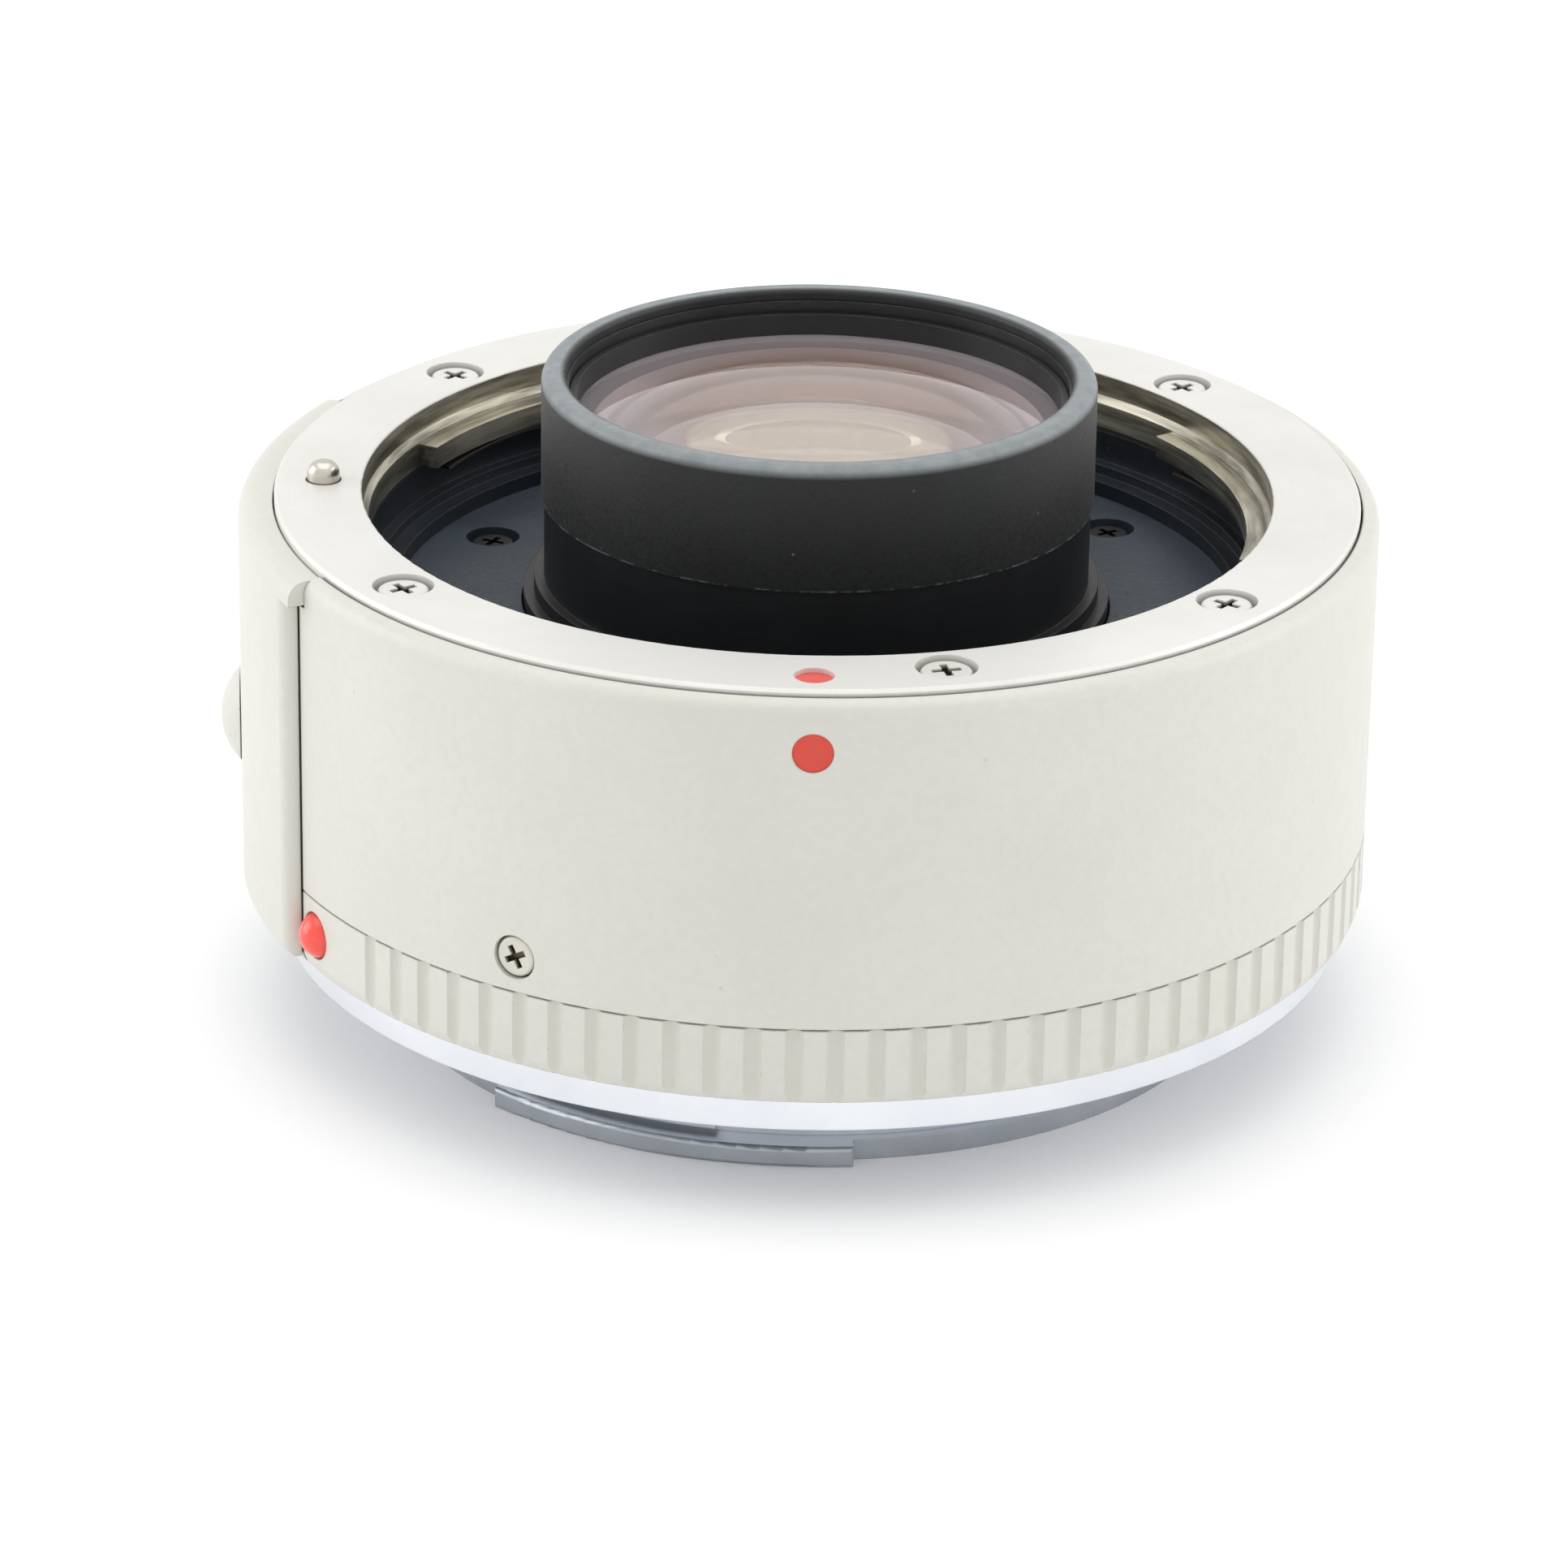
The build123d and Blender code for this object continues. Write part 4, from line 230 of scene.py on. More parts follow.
class Shade:
    """Builds one material. Places and scales are in millimetres of the part's own frame."""

    def __init__(self, name):
        self.material = bpy.data.materials.new(name)
        self.material.use_nodes = True
        self.tree = self.material.node_tree
        self.tree.nodes.clear()
        self.output = self.add("ShaderNodeOutputMaterial")
        self.shader = self.add("ShaderNodeBsdfPrincipled")
        self.link(self.shader.outputs[0], self.output.inputs["Surface"])
        where = self.add("ShaderNodeTexCoord")
        scaled = self.add("ShaderNodeVectorMath", operation="SCALE")
        self.link(where.outputs["Object"], scaled.inputs[0])
        scaled.inputs["Scale"].default_value = 1 / MM
        self.place = scaled.outputs[0]
        parts = self.add("ShaderNodeSeparateXYZ")
        self.link(self.place, parts.inputs[0])
        self.x, self.y, self.z = parts.outputs
        self.bumps = None

    def add(self, kind, **settings):
        node = self.tree.nodes.new(kind)
        for name, value in settings.items():
            setattr(node, name, value)
        return node

    def link(self, source, target):
        self.tree.links.new(source, target)

    def feed(self, target, value):
        """Links a socket, or writes a value on the target's own. Three numbers are a picture's colour."""
        if isinstance(value, bpy.types.NodeSocket):
            self.link(value, target)
        elif isinstance(value, tuple) and len(value) == 3:
            target.default_value = srgb(*value)
        else:
            target.default_value = value

    def set(self, **values):
        """Writes the shader's inputs, named as it names them, in small letters."""
        for name, value in values.items():
            title = name.replace("_", " ").title().replace("Ior", "IOR")
            self.feed(self.shader.inputs[title], value)

    def math(self, operation, first, second=0.0, third=0.0):
        node = self.add("ShaderNodeMath", operation=operation)
        for target, value in zip(node.inputs, (first, second, third)):
            self.feed(target, value)
        return node.outputs[0]

    def times(self, first, second):
        return self.math("MULTIPLY", first, second)

    def nudge(self, value, mask, change):
        """A value moved by a change where the mask is 1."""
        return self.math("MULTIPLY_ADD", mask, change, value)

    def remap(self, value, low, high, to_low=0.0, to_high=1.0):
        node = self.add("ShaderNodeMapRange")
        spans = (("From Min", low), ("From Max", high), ("To Min", to_low), ("To Max", to_high))
        for name, number in spans:
            node.inputs[name].default_value = number
        self.link(value, node.inputs["Value"])
        return node.outputs["Result"]

    def below(self, value, level, soft):
        """1 under a level, falling to 0 over a soft border above it."""
        return self.remap(value, level, level + soft, 1.0, 0.0)

    def radius(self):
        """Distance from the axis."""
        squared = self.nudge(self.times(self.y, self.y), self.x, self.x)
        return self.math("SQRT", squared)

    def angle(self):
        """Turn about the axis from the front index toward +X, in degrees."""
        turn = self.math("ARCTAN2", self.x, self.times(self.y, -1.0))
        return self.times(turn, 180 / pi)

    def vector(self, x, y, z):
        node = self.add("ShaderNodeCombineXYZ")
        for target, value in zip(node.inputs, (x, y, z)):
            self.feed(target, value)
        return node.outputs[0]

    def noise(self, scale, detail=2.0, rough=0.5, place=None):
        node = self.add("ShaderNodeTexNoise")
        self.link(place or self.place, node.inputs["Vector"])
        node.inputs["Scale"].default_value = scale
        node.inputs["Detail"].default_value = detail
        node.inputs["Roughness"].default_value = rough
        return node.outputs["Fac"]

    def clouds(self, scale, low=0.3, high=0.7, to_low=0.0, to_high=1.0, detail=3.0, rough=0.5):
        """Noise whose middle is stretched to run from one number to another."""
        return self.remap(self.noise(scale, detail, rough), low, high, to_low, to_high)

    def cells(self, scale):
        node = self.add("ShaderNodeTexVoronoi", feature="F1")
        self.link(self.place, node.inputs["Vector"])
        node.inputs["Scale"].default_value = scale
        return node.outputs["Distance"]

    def dots(self, scale, sizes, patches, share):
        """Small round specks where a slow noise is high. Patches are its scale, start and full level."""
        specks = self.remap(self.cells(scale), *sizes, 1.0, 0.0)
        some = self.clouds(*patches, detail=1.0)
        return self.times(specks, self.times(some, share))

    def mix(self, share, first, second):
        node = self.add("ShaderNodeMix", data_type="RGBA")
        for name, value in (("Factor", share), ("A", first), ("B", second)):
            socket = [s for s in node.inputs if s.name == name and s.enabled][0]
            self.feed(socket, value)
        return [s for s in node.outputs if s.enabled][0]

    def bump(self, height, depth):
        """Adds relief. Height goes from 0 to 1 and stands for a depth in millimetres."""
        node = self.add("ShaderNodeBump")
        node.inputs["Strength"].default_value = 1.0
        node.inputs["Distance"].default_value = depth * MM
        self.link(height, node.inputs["Height"])
        if self.bumps:
            self.link(self.bumps, node.inputs["Normal"])
        self.bumps = node.outputs[0]
        self.link(self.bumps, self.shader.inputs["Normal"])

    def rounded(self, radius):
        """The surface's direction with its sharp edges rounded."""
        node = self.add("ShaderNodeBevel", samples=4)
        node.inputs["Radius"].default_value = radius * MM
        return node.outputs[0]

    def soft_edges(self, radius):
        """Rounds sharp edges for the light alone, before any relief."""
        self.bumps = self.rounded(radius)
        self.link(self.bumps, self.shader.inputs["Normal"])

    def edge_mask(self, radius):
        """1 on sharp edges and 0 on flat faces."""
        flat = self.add("ShaderNodeNewGeometry")
        dot = self.add("ShaderNodeVectorMath", operation="DOT_PRODUCT")
        self.link(self.rounded(radius), dot.inputs[0])
        self.link(flat.outputs["Normal"], dot.inputs[1])
        away = self.math("SUBTRACT", 1.0, dot.outputs["Value"])
        return self.remap(away, 0.02, 0.25)

    def band(self, value, low, high, soft):
        """1 where a value lies between low and high, with soft borders."""
        rise = self.remap(value, low - soft, low + soft)
        fall = self.remap(value, high - soft, high + soft, 1.0, 0.0)
        return self.times(rise, fall)

    def turned(self, pitch=18.0):
        """Fine lines that run round the axis, as a lathe leaves them."""
        along = self.times(self.angle(), 0.12)
        round_place = self.vector(self.times(self.radius(), pitch), along, self.times(self.z, pitch))
        return self.noise(1.0, 3.0, 0.6, round_place)


def painted_gap_shade(shade):
    """Painted shade: 1 beside the cover's ends, in the notch under its lip, and in the seat of the front
    ring.
    """
    beside = shade.math("ABSOLUTE", shade.math("SUBTRACT", shade.angle(), COVER_ANGLE))
    line = shade.band(beside, COVER_SPAN - GAP_INSIDE, COVER_SPAN + GAP_OUTSIDE, GAP_SOFT)
    line = shade.times(line, shade.below(shade.z, LIP_LOW, GAP_SOFT))
    notch = shade.band(beside, COVER_SPAN - GAP_INSIDE, LIP_SPAN - GAP_INSIDE, GAP_SOFT)
    notch = shade.times(notch, shade.band(shade.z, LIP_LOW - NOTCH_HEIGHT, LIP_LOW, 0.03))
    seat = shade.below(shade.radius(), RING_R + 0.12, 0.08)
    seat_low = BODY_TOP - SEAT_DEPTH
    seat = shade.times(seat, shade.remap(shade.z, seat_low, seat_low + 0.1))
    return shade.math("MAXIMUM", line, shade.math("MAXIMUM", notch, seat))


def body_paint(name, grooves=False, gaps=False):
    """Warm off-white wrinkle paint on metal, with painted shade in the gaps beside the ring and the
    release cover.
    """
    shade = Shade(name)
    colour = shade.mix(shade.clouds(0.08), PAINT, PAINT_PALE)
    mottle = shade.times(shade.clouds(1.6, 0.35, 0.65, rough=0.6), 0.35)
    colour = shade.mix(mottle, colour, PAINT_MOTTLE)
    if grooves:
        # Darker towards the groove floors, in patches.
        deep = shade.remap(shade.radius(), BODY_R - GROOVE_DEPTH, BODY_R - 0.04, 1.0, 0.0)
        groove_darkening = shade.times(deep, shade.clouds(0.9, to_low=0.2, to_high=0.6))
        colour = shade.mix(groove_darkening, colour, GROOVE_DARKER)
    chips = shade.times(shade.clouds(1.1, 0.60, 0.66, detail=4.0, rough=0.7), 0.8)
    colour = shade.mix(shade.times(shade.edge_mask(0.18), chips), colour, CHIPPED)
    specks = shade.dots(0.42, (0.045, 0.075), (0.25, 0.58, 0.62), 0.3)
    colour = shade.mix(specks, colour, PAINT_SPECK)
    if gaps:
        # Painted shade in the gaps beside the cover, in the notch under its lip and round the ring's seat.
        colour = shade.mix(painted_gap_shade(shade), colour, GAP_SHADE)
    shade.set(base_color=colour, roughness=shade.clouds(0.7, to_low=0.40, to_high=0.52))
    shade.soft_edges(0.12)
    shade.bump(shade.noise(1.5), 0.022)
    shade.bump(shade.noise(4.6, rough=0.6), 0.013)
    return shade.material


def bore_mask(shade):
    """1 on the front ring's walls inside its mouth."""
    low = shade.below(shade.z, RING_TOP - 0.16, 0.1)
    return shade.times(low, shade.below(shade.radius(), MOUTH_R + 0.1, 0.1))


def bore_painted_reflection(shade):
    """Painted reflections: uneven streaks round the bore, brown to pale."""
    around = shade.vector(
        shade.times(shade.angle(), 0.05), shade.times(shade.z, 1.1), shade.times(shade.radius(), 0.9))
    streaks = shade.remap(shade.noise(1.0, 3.0, 0.6, around), 0.38, 0.62)
    return shade.mix(streaks, BORE_REFLECTION_DARK, BORE_REFLECTION_PALE)


def cross_shade_mask(shade, head, radial):
    """Painted shade: 1 below a screw's head, which reaches up to a height, or out to a radius where radial
    is set.
    """
    along = shade.radius() if radial else shade.z
    return shade.remap(along, head - 0.3, head - 0.06, 1.0, 0.0)


def plating(name, low=0.34, high=0.46, colours=PLATE_FACE, bored=False, head=None, radial=False):
    """Satin chrome plating over turned metal. A bore is plainer metal with painted reflections, and a
    screw's cross carries painted shade.
    """
    shade = Shade(name)
    lines = shade.turned()
    smudge = shade.clouds(0.12, 0.35, 0.7, detail=4.0, rough=0.6)
    tone = shade.mix(smudge, *colours)
    tone = shade.mix(shade.times(shade.remap(lines, 0.3, 0.7), 0.2), tone, PLATE_LINES)
    rough = shade.nudge(low, smudge, high - low)
    metal = 0.35
    if bored:
        bore = bore_mask(shade)
        # Painted reflections: dark and pale streaks round the bore.
        tone = shade.mix(bore, tone, bore_painted_reflection(shade))
        metal = shade.nudge(metal, bore, 0.55)
        rough = shade.nudge(rough, bore, -0.06)
    if head:
        cross = cross_shade_mask(shade, head, radial)
        # Painted shade in the screw's cross and round its head, below its top.
        tone = shade.mix(cross, tone, SLOT_SHADE)
        metal = shade.nudge(metal, cross, 0.5)
    shade.set(base_color=tone, metallic=metal, roughness=shade.nudge(rough, lines, 0.08))
    shade.soft_edges(0.1)
    shade.bump(lines, 0.0025)
    across = shade.vector(shade.times(shade.x, 9.0), shade.times(shade.y, 0.6), shade.z)
    scratch = shade.remap(shade.noise(1.0, 1.0, 0.5, across), 0.66, 0.70)
    shade.bump(scratch, 0.002)
    return shade.material


def rear_plating(name):
    """Bright flange and neck, with the lugs worn to a satin grey."""
    shade = Shade(name)
    lines = shade.turned()
    lug = shade.below(shade.z, LUG_FACE, 0.15)
    smudge = shade.clouds(0.15, 0.35, 0.7, detail=4.0, rough=0.6)
    tone = shade.mix(lug, shade.mix(smudge, *FLANGE_BRIGHT), shade.mix(smudge, *LUG_SATIN))
    rough = shade.nudge(0.14, lug, 0.22)
    shade.set(base_color=tone, metallic=1.0, roughness=shade.nudge(rough, lines, 0.12))
    shade.soft_edges(0.1)
    shade.bump(lines, 0.003)
    return shade.material


def steel(name, colour, low, high, worn=STEEL_WORN, grain=6.0):
    """Plain metal of small parts, with a fine grain and rubbed edges."""
    shade = Shade(name)
    grit = shade.noise(grain, 3.0, 0.6)
    tone = shade.mix(shade.times(shade.clouds(0.6), 0.4), colour, worn)
    tone = shade.mix(shade.times(shade.edge_mask(0.08), 0.35), tone, STEEL_RUBBED)
    shade.set(base_color=tone, metallic=1.0, roughness=shade.nudge(low, grit, high - low))
    shade.soft_edges(0.06)
    shade.bump(grit, 0.004)
    return shade.material


def dark_metal(name, colours, lines=True):
    """Black anodised or blackened metal, rubbed a little on its edges."""
    shade = Shade(name)
    height = shade.turned(10.0) if lines else shade.noise(5.0, 3.0, 0.6)
    tone = shade.mix(shade.times(shade.clouds(0.3, 0.35), 0.6), *colours)
    scuff = shade.times(shade.clouds(1.4, 0.4), 0.6)
    tone = shade.mix(shade.times(shade.edge_mask(0.08), scuff), tone, SCUFF_GREY)
    shade.set(base_color=tone, roughness=shade.nudge(0.34, height, 0.16))
    shade.soft_edges(0.08)
    shade.bump(height, 0.004)
    return shade.material


def rubber(name):
    """Matt black rubber with dust on it, a painted highlight in grey on its crown, and rubbed grey along
    its lower edge.
    """
    shade = Shade(name)
    grain = shade.noise(3.2, 3.0, 0.6)
    tone = shade.mix(shade.clouds(0.2), *RUBBER_BLACK)
    tone = shade.mix(shade.dots(0.55, (0.03, 0.06), (0.35, 0.52, 0.6), 0.55), tone, RUBBER_LINT)
    # Painted highlight: the rim's outer crown is painted pale grey, in patches.
    rubbed = shade.clouds(0.9, to_low=0.75, detail=4.0, rough=0.6)
    crown = shade.remap(shade.z, RIM_TOP - 0.7, RIM_TOP - 0.25)
    crown = shade.times(crown, shade.remap(shade.radius(), BUMPER_R - 1.4, BUMPER_R - 1.1))
    tone = shade.mix(shade.times(crown, rubbed), tone, RUBBER_CROWN_HIGHLIGHT)
    scuffed = shade.clouds(1.1, 0.45, 0.6, detail=4.0, rough=0.7)
    seam = shade.times(shade.below(shade.z, BARREL_SEAM + 0.06, 0.08), scuffed)
    tone = shade.mix(shade.times(seam, 0.8), tone, RUBBER_SEAM)
    shade.set(base_color=tone, sheen_weight=0.05, sheen_roughness=0.4)
    shade.set(roughness=shade.remap(grain, 0.3, 0.7, 0.42, 0.56))
    shade.soft_edges(0.1)
    shade.bump(grain, 0.012)
    return shade.material


def dusted(shade, tone):
    """Fine pale lint on dark plastic."""
    return shade.mix(shade.dots(0.8, (0.03, 0.06), (0.4, 0.5, 0.6), 0.4), tone, PLASTIC_LINT)


def moulded(name, colours):
    """Moulded black plastic, with dust."""
    shade = Shade(name)
    fine = shade.noise(2.4, 3.0, 0.6)
    tone = dusted(shade, shade.mix(shade.clouds(0.18, 0.35, 0.65), *colours))
    tone = shade.mix(shade.times(shade.edge_mask(0.1), 0.25), tone, PLASTIC_EDGE)
    shade.set(base_color=tone, roughness=shade.remap(fine, 0.3, 0.7, 0.3, 0.45))
    shade.soft_edges(0.1)
    shade.bump(fine, 0.012)
    return shade.material


def liner(name):
    """Moulded black well with dust on it, with painted light on its slate grey floor and painted shade on
    its darker walls.
    """
    shade = Shade(name)
    fine = shade.noise(2.4, 3.0, 0.6)
    cloud = shade.clouds(0.18, 0.35, 0.65)
    low = shade.below(shade.z, LINER_FLOOR + 0.02, 0.06)
    # Painted light on the floor and painted shade on the walls.
    tone = shade.mix(low, shade.mix(cloud, *WELL_WALL_SHADED), shade.mix(cloud, *WELL_FLOOR_LIT))
    tone = dusted(shade, tone)
    tone = shade.mix(shade.times(shade.edge_mask(0.1), 0.2), tone, WELL_EDGE)
    rough = shade.nudge(shade.remap(fine, 0.3, 0.7, 0.3, 0.45), low, 0.14)
    shade.set(base_color=tone, specular_tint=WELL_GLEAM, roughness=rough)
    shade.soft_edges(0.1)
    shade.bump(fine, 0.012)
    return shade.material


def coated_glass(name, tint, ior, painted_light_zones=None, clear=GLASS_CLEAR, heart=None):
    """Polished glass. Its coating colours its reflections. Its painted light is a diffuse layer in an
    inner and an outer zone, and where a heart is set, a painted bright disc within it.
    """
    shade = Shade(name)
    if heart:
        # Painted light: a bright disc seen through the glass inside the heart radius, tan outside it.
        clear = shade.mix(shade.remap(shade.radius(), HEART_R, HEART_R + HEART_SOFT), heart, clear)
    speck = shade.dots(0.9, (0.02, 0.035), (0.5, 0.55, 0.62), 0.25)
    shade.set(base_color=shade.mix(speck, clear, GLASS_DUST), roughness=shade.times(speck, 0.3))
    shade.set(transmission_weight=1.0, ior=ior, specular_tint=tint)
    shade.bump(shade.noise(0.4, 1.0), 0.0004)
    if painted_light_zones:
        add_painted_light(shade, *painted_light_zones)
    return shade.material


def add_painted_light(shade, inner, outer, start, end):
    """Adds a diffuse layer to clear glass, in zones by radius, as painted reflection and painted light."""
    painted_layer = shade.add("ShaderNodeBsdfDiffuse")
    tone = shade.mix(shade.remap(shade.radius(), start, end), inner, outer)
    shade.link(tone, painted_layer.inputs["Color"])
    both = shade.add("ShaderNodeAddShader")
    shade.link(shade.shader.outputs[0], both.inputs[0])
    shade.link(painted_layer.outputs[0], both.inputs[1])
    shade.link(both.outputs[0], shade.output.inputs["Surface"])


def index_red(name, colours, gloss, sheer=0.0, grain=0.01):
    """Red filling paint or a red plastic bead."""
    shade = Shade(name)
    cloud = shade.times(shade.clouds(1.4, detail=2.0), 0.35)
    rough = shade.clouds(2.6, to_low=gloss, to_high=gloss + 0.12, detail=2.0)
    shade.set(base_color=shade.mix(cloud, *colours), roughness=rough)
    if sheer:
        shade.set(subsurface_weight=sheer, subsurface_scale=1.5 * MM, coat_weight=0.5)
    shade.soft_edges(0.08)
    shade.bump(shade.noise(2.2), grain)
    return shade.material


def gold(name):
    """Gold plating, rubbed duller in places."""
    shade = Shade(name)
    grit = shade.noise(7.0, 3.0, 0.6)
    tone = shade.mix(shade.times(shade.clouds(1.2, 0.45), 0.5), GOLD_BRIGHT, GOLD_RUBBED)
    shade.set(base_color=tone, metallic=1.0, roughness=shade.remap(grit, 0.3, 0.7, 0.16, 0.32))
    shade.soft_edges(0.06)
    shade.bump(grit, 0.003)
    return shade.material


def board(name):
    """Green circuit board with raised tracks under its varnish."""
    shade = Shade(name)
    around = shade.vector(shade.times(shade.angle(), 0.7), shade.times(shade.radius(), 0.9), 0.0)
    node = shade.add("ShaderNodeTexBrick")
    shade.link(around, node.inputs["Vector"])
    node.inputs["Scale"].default_value = 1.0
    node.inputs["Mortar Size"].default_value = 0.08
    tracks = node.outputs["Fac"]
    tone = shade.mix(tracks, shade.mix(shade.clouds(0.6), *BOARD_GREEN), TRACK_GREEN)
    rough = shade.clouds(3.0, to_low=0.3, to_high=0.42, detail=2.0)
    shade.set(base_color=tone, coat_weight=0.4, roughness=rough)
    shade.bump(tracks, 0.03)
    return shade.material


def flex(name):
    """Amber flexible print with its tracks showing through."""
    shade = Shade(name)
    wave = shade.add("ShaderNodeTexWave")
    shade.link(shade.place, wave.inputs["Vector"])
    wave.inputs["Scale"].default_value = 0.9
    lines = shade.remap(wave.outputs["Fac"], 0.62, 0.7)
    tone = shade.mix(lines, shade.mix(shade.clouds(0.9), *FLEX_AMBER), FLEX_TRACK)
    rough = shade.clouds(3.0, to_low=0.25, to_high=0.38, detail=2.0)
    shade.set(base_color=tone, roughness=rough)
    shade.bump(lines, 0.02)
    return shade.material


def outer_finishes():
    """The materials of what is seen from outside, with the nodes that they go on."""
    return {
        body_paint("paint_grooved", True, True): ["grip_ring"],
        body_paint("paint_shell", gaps=True): ["main_shell"],
        body_paint("paint_smooth"): ["release_cover", "release_knob"],
        plating("plating_front", bored=True): ["front_mount_ring"],
        plating("plating_screws", 0.3, 0.4, head=RING_HEAD_TOP): ["front_ring_screws"],
        plating("screw_side", 0.26, 0.36, SIDE_HEAD_FACE, head=SIDE_HEAD_TOP, radial=True): [
            "side_screws"],
        rear_plating("plating_rear"): ["rear_mount"],
        rubber("rubber_finish"): ["barrel_bumper"],
        index_red("index_paint", RING_RED, 0.45): ["front_index"],
        index_red("dot_paint", DOT_RED, 0.45): ["body_index_dot"],
        index_red("bead_plastic", BEAD_RED, 0.16, 0.3, 0.003): ["rear_index_bead"],
    }


def metal_finishes():
    """The materials of small and inner metal parts."""
    return {
        steel("screw_bright", STEEL_BRIGHT, 0.14, 0.3): [
            "rear_mount_screws", "cover_screws", "board_screws"],
        steel("pin_finish", STEEL_WARM, 0.2, 0.38): ["lock_pin"],
        steel("spring_bright", STEEL_SPRING, 0.22, 0.4): ["lock_spring", "front_shim", "release_slide"],
        steel("cast_alloy", CAST_ALLOY, 0.38, 0.6, CAST_WORN, 2.5): ["inner_frame"],
        # Painted shade: the leaf springs, which sit in shade under the tabs, are painted near-black.
        dark_metal("leaf_shade", LEAF_SHADE): ["mount_leaf_springs"],
        dark_metal("screw_black", SCREW_BLACK, lines=False): [
            "chamber_floor_screws", "front_contact_screws", "rear_baffle_screws", "rear_contact_screws"],
        dark_metal("barrel_finish", BARREL_BLACK): [
            "optics_barrel", "front_retaining_ring", "rear_retaining_ring", "front_spacer", "rear_spacer"],
        gold("gold_finish"): ["rear_contact_pads"] + [f"contact_pin_{k}" for k in range(1, 9)],
    }


def inner_finishes():
    """The materials of black plastic, electronics and glass."""
    # Painted reflection zones on the first element, and a painted glowing disc in the heart of the second.
    painted_light_zones = (PAINTED_REFLECTION_INNER, PAINTED_REFLECTION_OUTER, PAINTED_REFLECTION_START_R, PAINTED_REFLECTION_END_R)
    painted_heart_glow = (PAINTED_HEART_GLOW, NO_HAZE, HEART_R, HEART_R + HEART_SOFT)
    return {
        liner("liner_finish"): ["chamber_liner"],
        moulded("baffle_finish", BAFFLE_BLACK): [
            "rear_baffle", "front_contact_block", "rear_contact_block"],
        moulded("chip_finish", CHIP_BLACK): ["board_components"],
        board("board_finish"): ["circuit_board"],
        flex("flex_finish"): ["front_flex", "rear_flex"],
        coated_glass("glass_1", MAUVE_TINT, 1.62, painted_light_zones): ["lens_element_1"],
        coated_glass("glass_2", ROSE_TINT, 1.55, painted_heart_glow, PAINTED_TAN_ZONE, PAINTED_HEART_LIGHT): ["lens_element_2"],
        coated_glass("glass_3", ROSE_TINT, 1.55): ["lens_element_3"],
        coated_glass("glass_4", AMBER_TINT, 1.6): ["lens_element_4", "lens_element_5"],
    }


def dress():
    """Gives every CAD node its material."""
    for table in (outer_finishes(), metal_finishes(), inner_finishes()):
        for material, names in table.items():
            for name in names:
                for slot in frame["nodes"][name].material_slots:
                    slot.material = material


def coil_points(low, high):
    """Rings of points round a wire wound between two corners. Its end turns lie nearly flat."""
    middle = (low + high) / 2
    wire = SPRING_WIRE * MM / 2
    reach = (high.x - low.x) / 2 - wire
    rise = high.z - low.z - 2 * wire
    steps = SPRING_TURNS * SPRING_STEPS
    points = []
    for step in range(steps + 1):
        share = step / steps
        turn = 2 * pi * SPRING_TURNS * share
        lift = share * share * (3 - 2 * share)
        out = Vector((cos(turn), sin(turn), 0))
        centre = Vector((middle.x, middle.y, low.z + wire + rise * lift)) + out * reach
        for side in range(SPRING_SIDES):
            way = 2 * pi * side / SPRING_SIDES
            points.append(centre + wire * (out * cos(way) + Vector((0, 0, sin(way)))))
    return points


def tube_faces(rings, sides):
    """Faces from each ring of points to the next, with a lid on both ends."""
    faces = [tuple(range(sides))]
    for ring in range(rings - 1):
        first = ring * sides
        second = first + sides
        for side in range(sides):
            after = (side + 1) % sides
            faces.append((first + side, second + side, second + after, first + after))
    faces.append(tuple(reversed(range((rings - 1) * sides, rings * sides))))
    return faces


def coil_spring():
    """The wound spring under the release arm, which shortens as the release is pressed."""
    low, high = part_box("lock_spring")
    points = coil_points(low, high)
    faces = tube_faces(len(points) // SPRING_SIDES, SPRING_SIDES)
    mesh = bpy.data.meshes.new("lock_spring_coil")
    mesh.from_pydata(points, [], faces, shade_flat=False)
    mesh.materials.append(steel("coil_wire", STEEL_SPRING, 0.18, 0.36))
    coil = bpy.data.objects.new("lock_spring_coil", mesh)
    bpy.context.scene.collection.objects.link(coil)
    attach(coil, "body")
    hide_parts("lock_spring")
    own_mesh(coil)


def light_path(tree):
    """1 for the rays that show the background, from the camera, in reflections and through glass."""
    path = tree.nodes.new("ShaderNodeLightPath")
    shown = path.outputs["Is Camera Ray"]
    for name in ("Is Glossy Ray", "Is Transmission Ray"):
        most = tree.nodes.new("ShaderNodeMath")
        most.operation = "MAXIMUM"
        tree.links.new(shown, most.inputs[0])
        tree.links.new(path.outputs[name], most.inputs[1])
        shown = most.outputs[0]
    return shown


def world():
    """White all round for the camera and for reflections, and a plain level for the light itself."""
    made = bpy.data.worlds.new("studio")
    made.use_nodes = True
    tree = made.node_tree
    tree.nodes.clear()
    output = tree.nodes.new("ShaderNodeOutputWorld")
    mixed = tree.nodes.new("ShaderNodeMixShader")
    tree.links.new(light_path(tree), mixed.inputs[0])
    for place, level in ((1, WORLD_LEVEL), (2, 1.0)):
        sky = tree.nodes.new("ShaderNodeBackground")
        sky.inputs["Color"].default_value = WHITE
        sky.inputs["Strength"].default_value = level
        tree.links.new(sky.outputs[0], mixed.inputs[place])
    tree.links.new(mixed.outputs[0], output.inputs["Surface"])
    bpy.context.scene.world = made


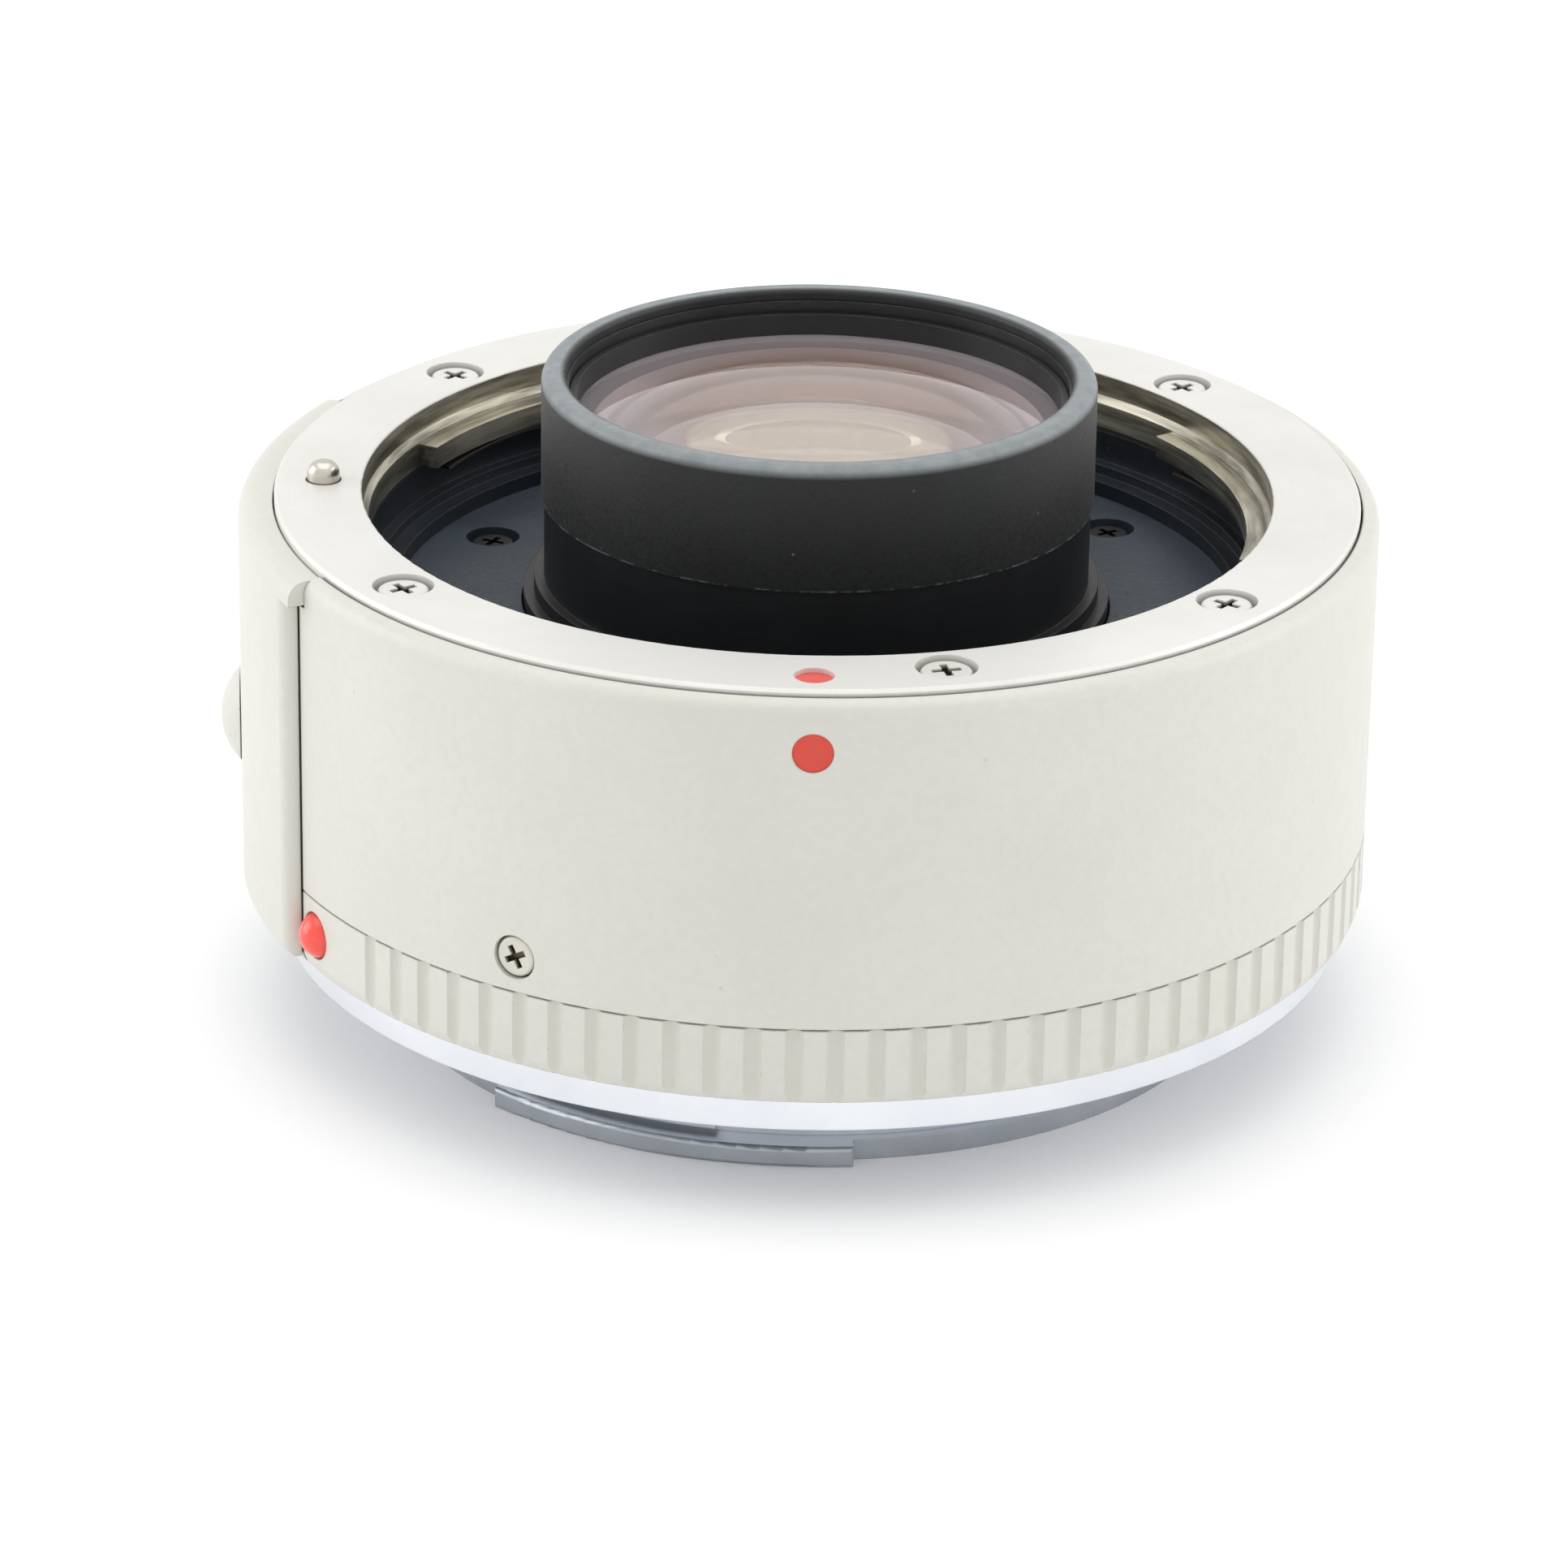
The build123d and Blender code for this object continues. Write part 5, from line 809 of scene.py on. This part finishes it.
def floor():
    """A wide pale sheet under the part."""
    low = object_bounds()[0].z
    side = FLOOR_HALF_SIDE
    mesh = bpy.data.meshes.new("floor")
    corners = [(-side, -side, low), (side, -side, low), (side, side, low), (-side, side, low)]
    mesh.from_pydata(corners, [], [(0, 1, 2, 3)])
    sheet = bpy.data.objects.new("floor", mesh)
    bpy.context.scene.collection.objects.link(sheet)
    shade = Shade("floor_white")
    shade.set(base_color=shade.mix(shade.clouds(0.01, detail=2.0), *FLOOR_PALE), roughness=0.6)
    lift = shade.times(light_path(shade.tree), FLOOR_LIFT)
    shade.set(emission_color=WHITE, emission_strength=lift)
    mesh.materials.append(shade.material)
    sheet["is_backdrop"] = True


def lamps():
    """Soft square lamps that face the middle of the part."""
    for name, place, size, watts in LAMPS:
        data = bpy.data.lights.new(name, "AREA")
        data.shape = "RECTANGLE"
        data.size, data.size_y = size
        data.energy = watts
        light = bpy.data.objects.new(name, data)
        light.location = place
        light.rotation_mode = "QUATERNION"
        light.rotation_quaternion = (Vector(place) - AIM).to_track_quat("Z", "Y")
        bpy.context.scene.collection.objects.link(light)


def camera():
    """The photograph's camera, from a fit to the part's circles and edges."""
    rise, roll = radians(CAMERA_RISE), radians(CAMERA_ROLL)
    back = Vector((0, -cos(rise), sin(rise)))
    up = Vector((0, sin(rise), cos(rise)))
    side = Vector((1, 0, 0))
    right_cam = cos(roll) * side + sin(roll) * up
    up_cam = -sin(roll) * side + cos(roll) * up
    data = bpy.data.cameras.new("camera")
    data.sensor_width = SENSOR
    data.lens = FOCAL_PX * SENSOR / PHOTO_SIDE
    data.shift_x = (PHOTO_SIDE / 2 - AIM_PX[0]) / PHOTO_SIDE
    data.shift_y = (AIM_PX[1] - PHOTO_SIDE / 2) / PHOTO_SIDE
    data.clip_start = NEAREST_VIEW
    data.clip_end = FARTHEST_VIEW
    made = bpy.data.objects.new("camera", data)
    turn = Matrix((right_cam, up_cam, back)).transposed().to_4x4()
    made.matrix_world = Matrix.Translation(AIM + back * CAMERA_BACK) @ turn
    bpy.context.scene.collection.objects.link(made)
    bpy.context.scene.camera = made


dress()
coil_spring()
world()
floor()
lamps()
camera()
bpy.context.scene.view_settings.view_transform = "Standard"
